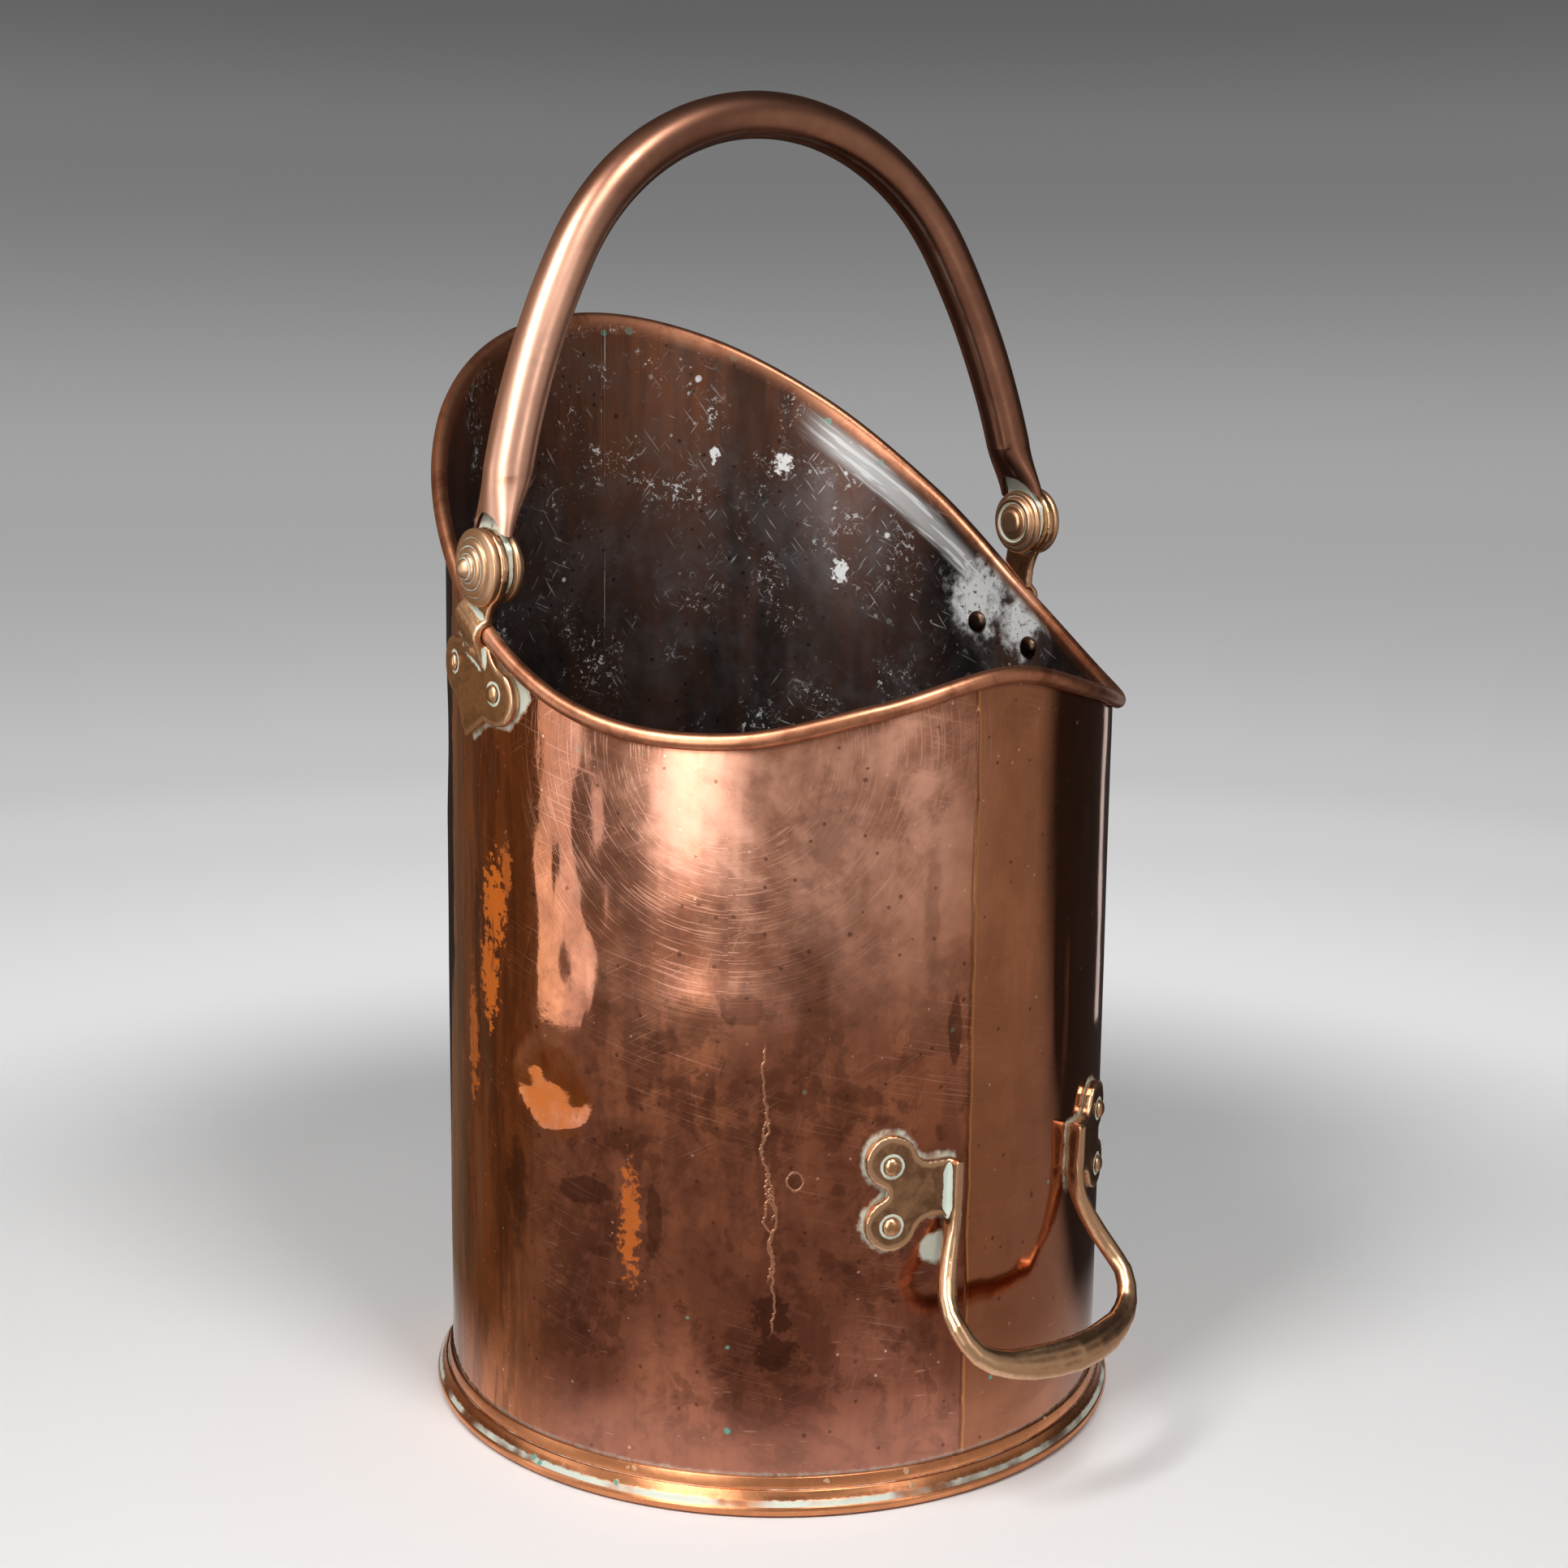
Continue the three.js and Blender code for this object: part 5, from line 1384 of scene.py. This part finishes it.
bail_lean = math.radians(-2.1)
bail_frame = pin_frame @ Matrix.Rotation(bail_lean, 4, "X")
bail_mesh = bpy.data.meshes.new("copper_bail")
bail_mesh.from_pydata(bail_places.tolist(), [(i, i + 1) for i in range(len(bail_places) - 1)], [])
write_vectors(bail_mesh, "place", bail_places)
write_vectors(bail_mesh, "out", bail_out)
write_numbers(bail_mesh, "thick", bail_rows[:, 3])
write_numbers(bail_mesh, "wide", bail_rows[:, 4])
copper_bail = link_piece("copper_bail", bail_mesh)
add_tree(copper_bail, bail_tree(), Sides=56, Wall=1.4 * MM, Seam_depth=0.45 * MM,
         End_radius=17.8 * MM, Arch_radius=11 * MM, Arch_rise=11.4 * MM, Pin_reach=tongue_middle,
         Finish=tube_finish)
made = settle(copper_bail)
made.transform(bail_frame)
smooth_shading(made, 42)
mark_hollows(copper_bail, 3, 0.12 * MM)
hand_over(copper_bail, "bail", "copper_tube", "bail_tube")

# %% [markdown]
# Brackets, tongues and the tipping handle were cast or forged and then worn soft. Bevelling each
# edge of these joined shapes would fail at their many small faces, so a merged copy of the CAD
# solid is remeshed into even small faces and smoothed, which rounds every edge and corner.

# %% Brackets, tongues and tipping handle
def worn_casting(name, node, voxel, rounds, finish):
    mesh = nodes[node].data.copy()
    shell = bmesh.new()
    shell.from_mesh(mesh)
    bmesh.ops.remove_doubles(shell, verts=shell.verts, dist=1e-6)
    shell.to_mesh(mesh)
    shell.free()
    piece = link_piece(name, mesh)
    remesh = piece.modifiers.new("Even faces", "REMESH")
    remesh.mode = "VOXEL"
    remesh.voxel_size = voxel
    smooth = piece.modifiers.new("Worn edges", "SMOOTH")
    smooth.factor = 0.5
    smooth.iterations = rounds
    made = settle(piece)
    made.shade_smooth()
    made.materials.clear()
    made.materials.append(finish)
    mark_hollows(piece, 14, 0.20 * MM)
    mark_rings(piece, rivet_centres, rivet_directions, radius=4.6 * MM, width=0.9 * MM)
    return piece


for name, node, voxel, rounds, body, finish in (
    ("handle_casting", "tip_handle", 0.62 * MM, 9, "bin", handle_finish),
    ("bracket_casting_left", "bracket_left", 0.5 * MM, 16, "bin", plate_finish),
    ("bracket_casting_right", "bracket_right", 0.5 * MM, 16, "bin", plate_finish),
    ("tongue_left", "bail_tongue_left", 0.45 * MM, 6, "bail", tongue_finish),
    ("tongue_right", "bail_tongue_right", 0.45 * MM, 6, "bail", tongue_finish),
):
    hand_over(worn_casting(name, node, voxel, rounds, finish), body, "bronze", node)


# %% [markdown]
# The bin stands in a wide pale bowl, flat round the object and curving up behind it, so that no
# edge shows from any side. Far from the object its colour is a plain grey gradient that the
# camera and the metal see, and close to the object it is a lit floor that keeps the shadow.

# %% Floor and backdrop
def studio_bowl():
    turns = np.linspace(0, math.pi / 2, 20)
    flat_radius, curve, top, steps = 1.7, 0.9, 3.2, 96
    profile = [(r, 0.0) for r in np.linspace(0.0, flat_radius, 8)]
    profile += [(flat_radius + curve * math.sin(a), curve * (1 - math.cos(a))) for a in turns[1:]]
    profile.append((flat_radius + curve, top))
    spans = np.hypot(*np.diff(np.array(profile), axis=0).T)
    angles = np.linspace(0, 2 * math.pi, steps, endpoint=False)
    points = [(0.0, 0.0, 0.0)]
    points += [(r * math.cos(a), r * math.sin(a), z) for r, z in profile[1:] for a in angles]
    rings = len(profile) - 1
    faces = [(0, 1 + k, 1 + (k + 1) % steps) for k in range(steps)]
    faces += (1 + hoop_faces(rings, steps)[:(rings - 1) * steps]).tolist()
    mesh = bpy.data.meshes.new("studio_bowl")
    mesh.from_pydata(points, [], faces)
    mesh.shade_smooth()
    write_numbers(mesh, "along", np.concatenate([[0.0], np.repeat(np.cumsum(spans), steps)]))
    return link_piece("studio_bowl", mesh)


def show(tree, shader):
    feed(tree.nodes["Material Output"].inputs["Surface"], shader)


def bowl_finish():
    material, tree, _ = new_finish("studio_bowl_finish")
    along, = attributes(tree, "along")
    floor = tree.nodes["Principled BSDF"]
    pale = (0.82, 0.82, 0.82)
    for label, value in (("Roughness", 0.9), ("Specular IOR Level", 0.1), ("Base Color", pale)):
        feed(floor.inputs[label], value)
    gradient = add_node(tree, "ShaderNodeValToRGB", {"Fac": along / 4.0})
    ramp = gradient.color_ramp
    ramp.interpolation = "EASE"
    tones = [(0.0, 0.82), (0.17, 0.76), (0.34, 0.61), (0.43, 0.54), (0.61, 0.37), (0.75, 0.185),
             (0.81, 0.12)]
    while len(ramp.elements) < len(tones):
        ramp.elements.new(0.5)
    for element, (position, tone) in zip(ramp.elements, tones):
        element.position = position
        element.color = (tone, tone, tone, 1)
    glow = put(tree, "ShaderNodeEmission", {"Color": Value(gradient.outputs[0]), "Strength": 1.0})
    rays = add_node(tree, "ShaderNodeLightPath").outputs
    camera, glossy, through = (Value(rays[f"Is {kind} Ray"])
                               for kind in ("Camera", "Glossy", "Transmission"))
    share = smooth_step(along, 0.44, 0.80) * clamped(camera + glossy + through)
    show(tree, put(tree, "ShaderNodeMixShader", {0: share, 1: Value(floor.outputs[0]), 2: glow}))
    return material


bowl = studio_bowl()
bowl.data.materials.append(bowl_finish())
print("bowl of", len(bowl.data.polygons), "faces")

# %% [markdown]
# Two soft lamps stand high in front, left and right of the camera, over a weak even light from
# all sides. What polished copper shows is its surroundings, so the metal alone sees a dark room:
# a dome on a brownish floor, left open close to the bin, with two clear pools where the lit floor
# shows, and four bright cards for the pale bands and edges in the reflections.

# %% Lamps, the dark room and bright cards
world = bpy.data.worlds.new("studio")
bpy.context.scene.world = world
world.use_nodes = True
sky = world.node_tree.nodes["Background"].inputs
feed(sky["Color"], (1.0, 1.0, 1.0))
feed(sky["Strength"], 0.13)


def aimed(azimuth, elevation, distance):
    """A place round the bin in degrees and metres, turned to look at its middle."""
    turn, rise = math.radians(azimuth), math.radians(elevation)
    back = Vector((math.sin(turn) * math.cos(rise), -math.cos(turn) * math.cos(rise),
                   math.sin(rise)))
    matrix = back.to_track_quat("Z", "Y").to_matrix().to_4x4()
    matrix.translation = Vector((0, 0, 0.3)) + back * distance
    return matrix


def soft_lamp(name, azimuth, elevation, distance, width, height, brightness):
    """An area lamp whose face is as bright as the given strength, where 1 is white."""
    light = bpy.data.lights.new(name, "AREA")
    light.shape = "RECTANGLE"
    light.size, light.size_y = width, height
    light.energy = brightness * math.pi * width * height
    lamp = bpy.data.objects.new(name, light)
    bpy.context.scene.collection.objects.link(lamp)
    lamp.matrix_world = aimed(azimuth, elevation, distance)
    lamp.visible_camera = False


def for_metal_only(piece):
    for ray in ("camera", "diffuse", "shadow", "transmission", "volume_scatter"):
        setattr(piece, f"visible_{ray}", False)


def room_finish():
    material, tree, place = new_finish("dark_room_finish")
    x, y, z = split(place)
    from_axis = hypot(x, y)
    azimuth = reckon("ARCTAN2", x, y * -1.0)

    def turned(start, end):
        return smooth_step(azimuth, math.radians(start), math.radians(end))

    pools = [smooth_step(abs(azimuth - math.radians(middle)), math.radians(24), math.radians(2))
             for middle in (-66, -14)]
    pool_end = most(*pools) * 0.08 + 0.165
    opaque = most(smooth_step(from_axis - pool_end, -0.02, 0.09), smooth_step(z, 0.01, 0.1))
    in_front = 1.0 - most(turned(-110, -127), turned(54, 68))
    ahead = mixed(smooth_step(from_axis, 0.35, 1.5), (0.40, 0.345, 0.31), (0.40, 0.36, 0.33))
    ahead = mixed(smooth_step(z, 0.5, 1.6), ahead, (0.12, 0.11, 0.10))
    beyond = mixed(smooth_step(azimuth, 0.0, -1.0), (0.035, 0.03, 0.028), (0.20, 0.135, 0.085))
    glow = put(tree, "ShaderNodeEmission",
               {"Color": mixed(in_front, beyond, ahead), "Strength": 1.0})
    clear = put(tree, "ShaderNodeBsdfTransparent")
    show(tree, put(tree, "ShaderNodeMixShader", {0: opaque, 1: clear, 2: glow}))
    return material


def dark_room():
    """A dome round the bin, from a floor of rings up to the top, a little closer at the back."""
    turns = np.linspace(0, 2 * math.pi, 64, endpoint=False)
    reach = [0.17, 0.19, 0.21, 0.24, 0.30, 0.38, 0.5, 0.8, 1.2, 1.62, 1.62, 1.62, 1.5, 1.2, 0.5]
    rise = [0.002] * 10 + [0.6, 1.4, 2.0, 2.5, 2.8]
    points = []
    for r, z in zip(reach, rise):
        for a in turns:
            behind = float(ease(math.sin(a), -0.2, 0.4))
            out = r + behind * (min(r, 0.85 + 0.1 * r) - r)
            points.append((out * math.cos(a), out * math.sin(a), z))
    faces = hoop_faces(len(reach), len(turns))[:(len(reach) - 1) * len(turns)]
    mesh = bpy.data.meshes.new("dark_room")
    mesh.from_pydata(points, [], faces.tolist())
    mesh.shade_smooth()
    mesh.materials.append(room_finish())
    room = link_piece("dark_room", mesh)
    for_metal_only(room)


def bright_card(name, azimuth, elevation, distance, width, height, brightness):
    """A glowing card that only the metal sees."""
    mesh = bpy.data.meshes.new(name)
    mesh.from_pydata([(-width / 2, -height / 2, 0), (width / 2, -height / 2, 0),
                      (width / 2, height / 2, 0), (-width / 2, height / 2, 0)], [], [(0, 1, 2, 3)])
    mesh.transform(aimed(azimuth, elevation, distance))
    material, tree, _ = new_finish(name)
    show(tree, put(tree, "ShaderNodeEmission", {"Color": (1.0, 1.0, 1.0), "Strength": brightness}))
    mesh.materials.append(material)
    card = link_piece(name, mesh)
    for_metal_only(card)


dark_room()
# azimuth and elevation in degrees, distance, width and height in metres, brightness
bright_card("left_card", -109, 0, 0.8, 0.22, 0.7, 1.8)
bright_card("left_front_card", -64, 12, 0.9, 0.34, 0.8, 4.6)
bright_card("right_card", 102, -8, 0.7, 0.07, 0.4, 0.8)
bright_card("right_front_card", 2, 18, 0.9, 0.16, 0.7, 2.4)
soft_lamp("left_lamp", -76, 50, 1.5, 0.40, 0.7, 17.0)
soft_lamp("right_lamp", -8, 54, 1.5, 0.40, 0.5, 20.0)
print("lamps:", [light.name for light in bpy.data.lights])

# %% [markdown]
# The camera was fitted to the photograph: its height, distance and turn, its small roll, and a
# lens of about 52 mm on a 36 mm sensor. The picture is a little off centre, so the lens shifts.

# %% Camera
def photo_camera():
    focal_pixels, image_size, middle_row = 2807.6, 1932, 875.5
    azimuth, yaw, pitch, roll = (math.radians(x) for x in (-37.5, -0.112, 8.45, 0.663))
    distance, height = 1.0268, 0.4623
    facing = azimuth + yaw
    forward = Vector((-math.sin(facing) * math.cos(pitch), math.cos(facing) * math.cos(pitch),
                      -math.sin(pitch)))
    level_right = Vector((math.cos(facing), math.sin(facing), 0))
    level_up = level_right.cross(forward)
    right = math.cos(roll) * level_right + math.sin(roll) * level_up
    up = -math.sin(roll) * level_right + math.cos(roll) * level_up
    matrix = Matrix((right, up, -forward)).transposed().to_4x4()
    matrix.translation = (distance * math.sin(azimuth), axis_y - distance * math.cos(azimuth),
                          height)
    camera = bpy.data.objects.new("camera", bpy.data.cameras.new("camera"))
    bpy.context.scene.collection.objects.link(camera)
    camera.matrix_world = matrix
    camera.data.lens = 36 * focal_pixels / image_size
    camera.data.shift_y = -(image_size / 2 - middle_row) / image_size
    camera.data.clip_start = 0.05
    return camera


bpy.context.scene.camera = photo_camera()
bpy.context.scene.view_settings.view_transform = "Standard"
print("lens", round(bpy.context.scene.camera.data.lens, 1), "mm")
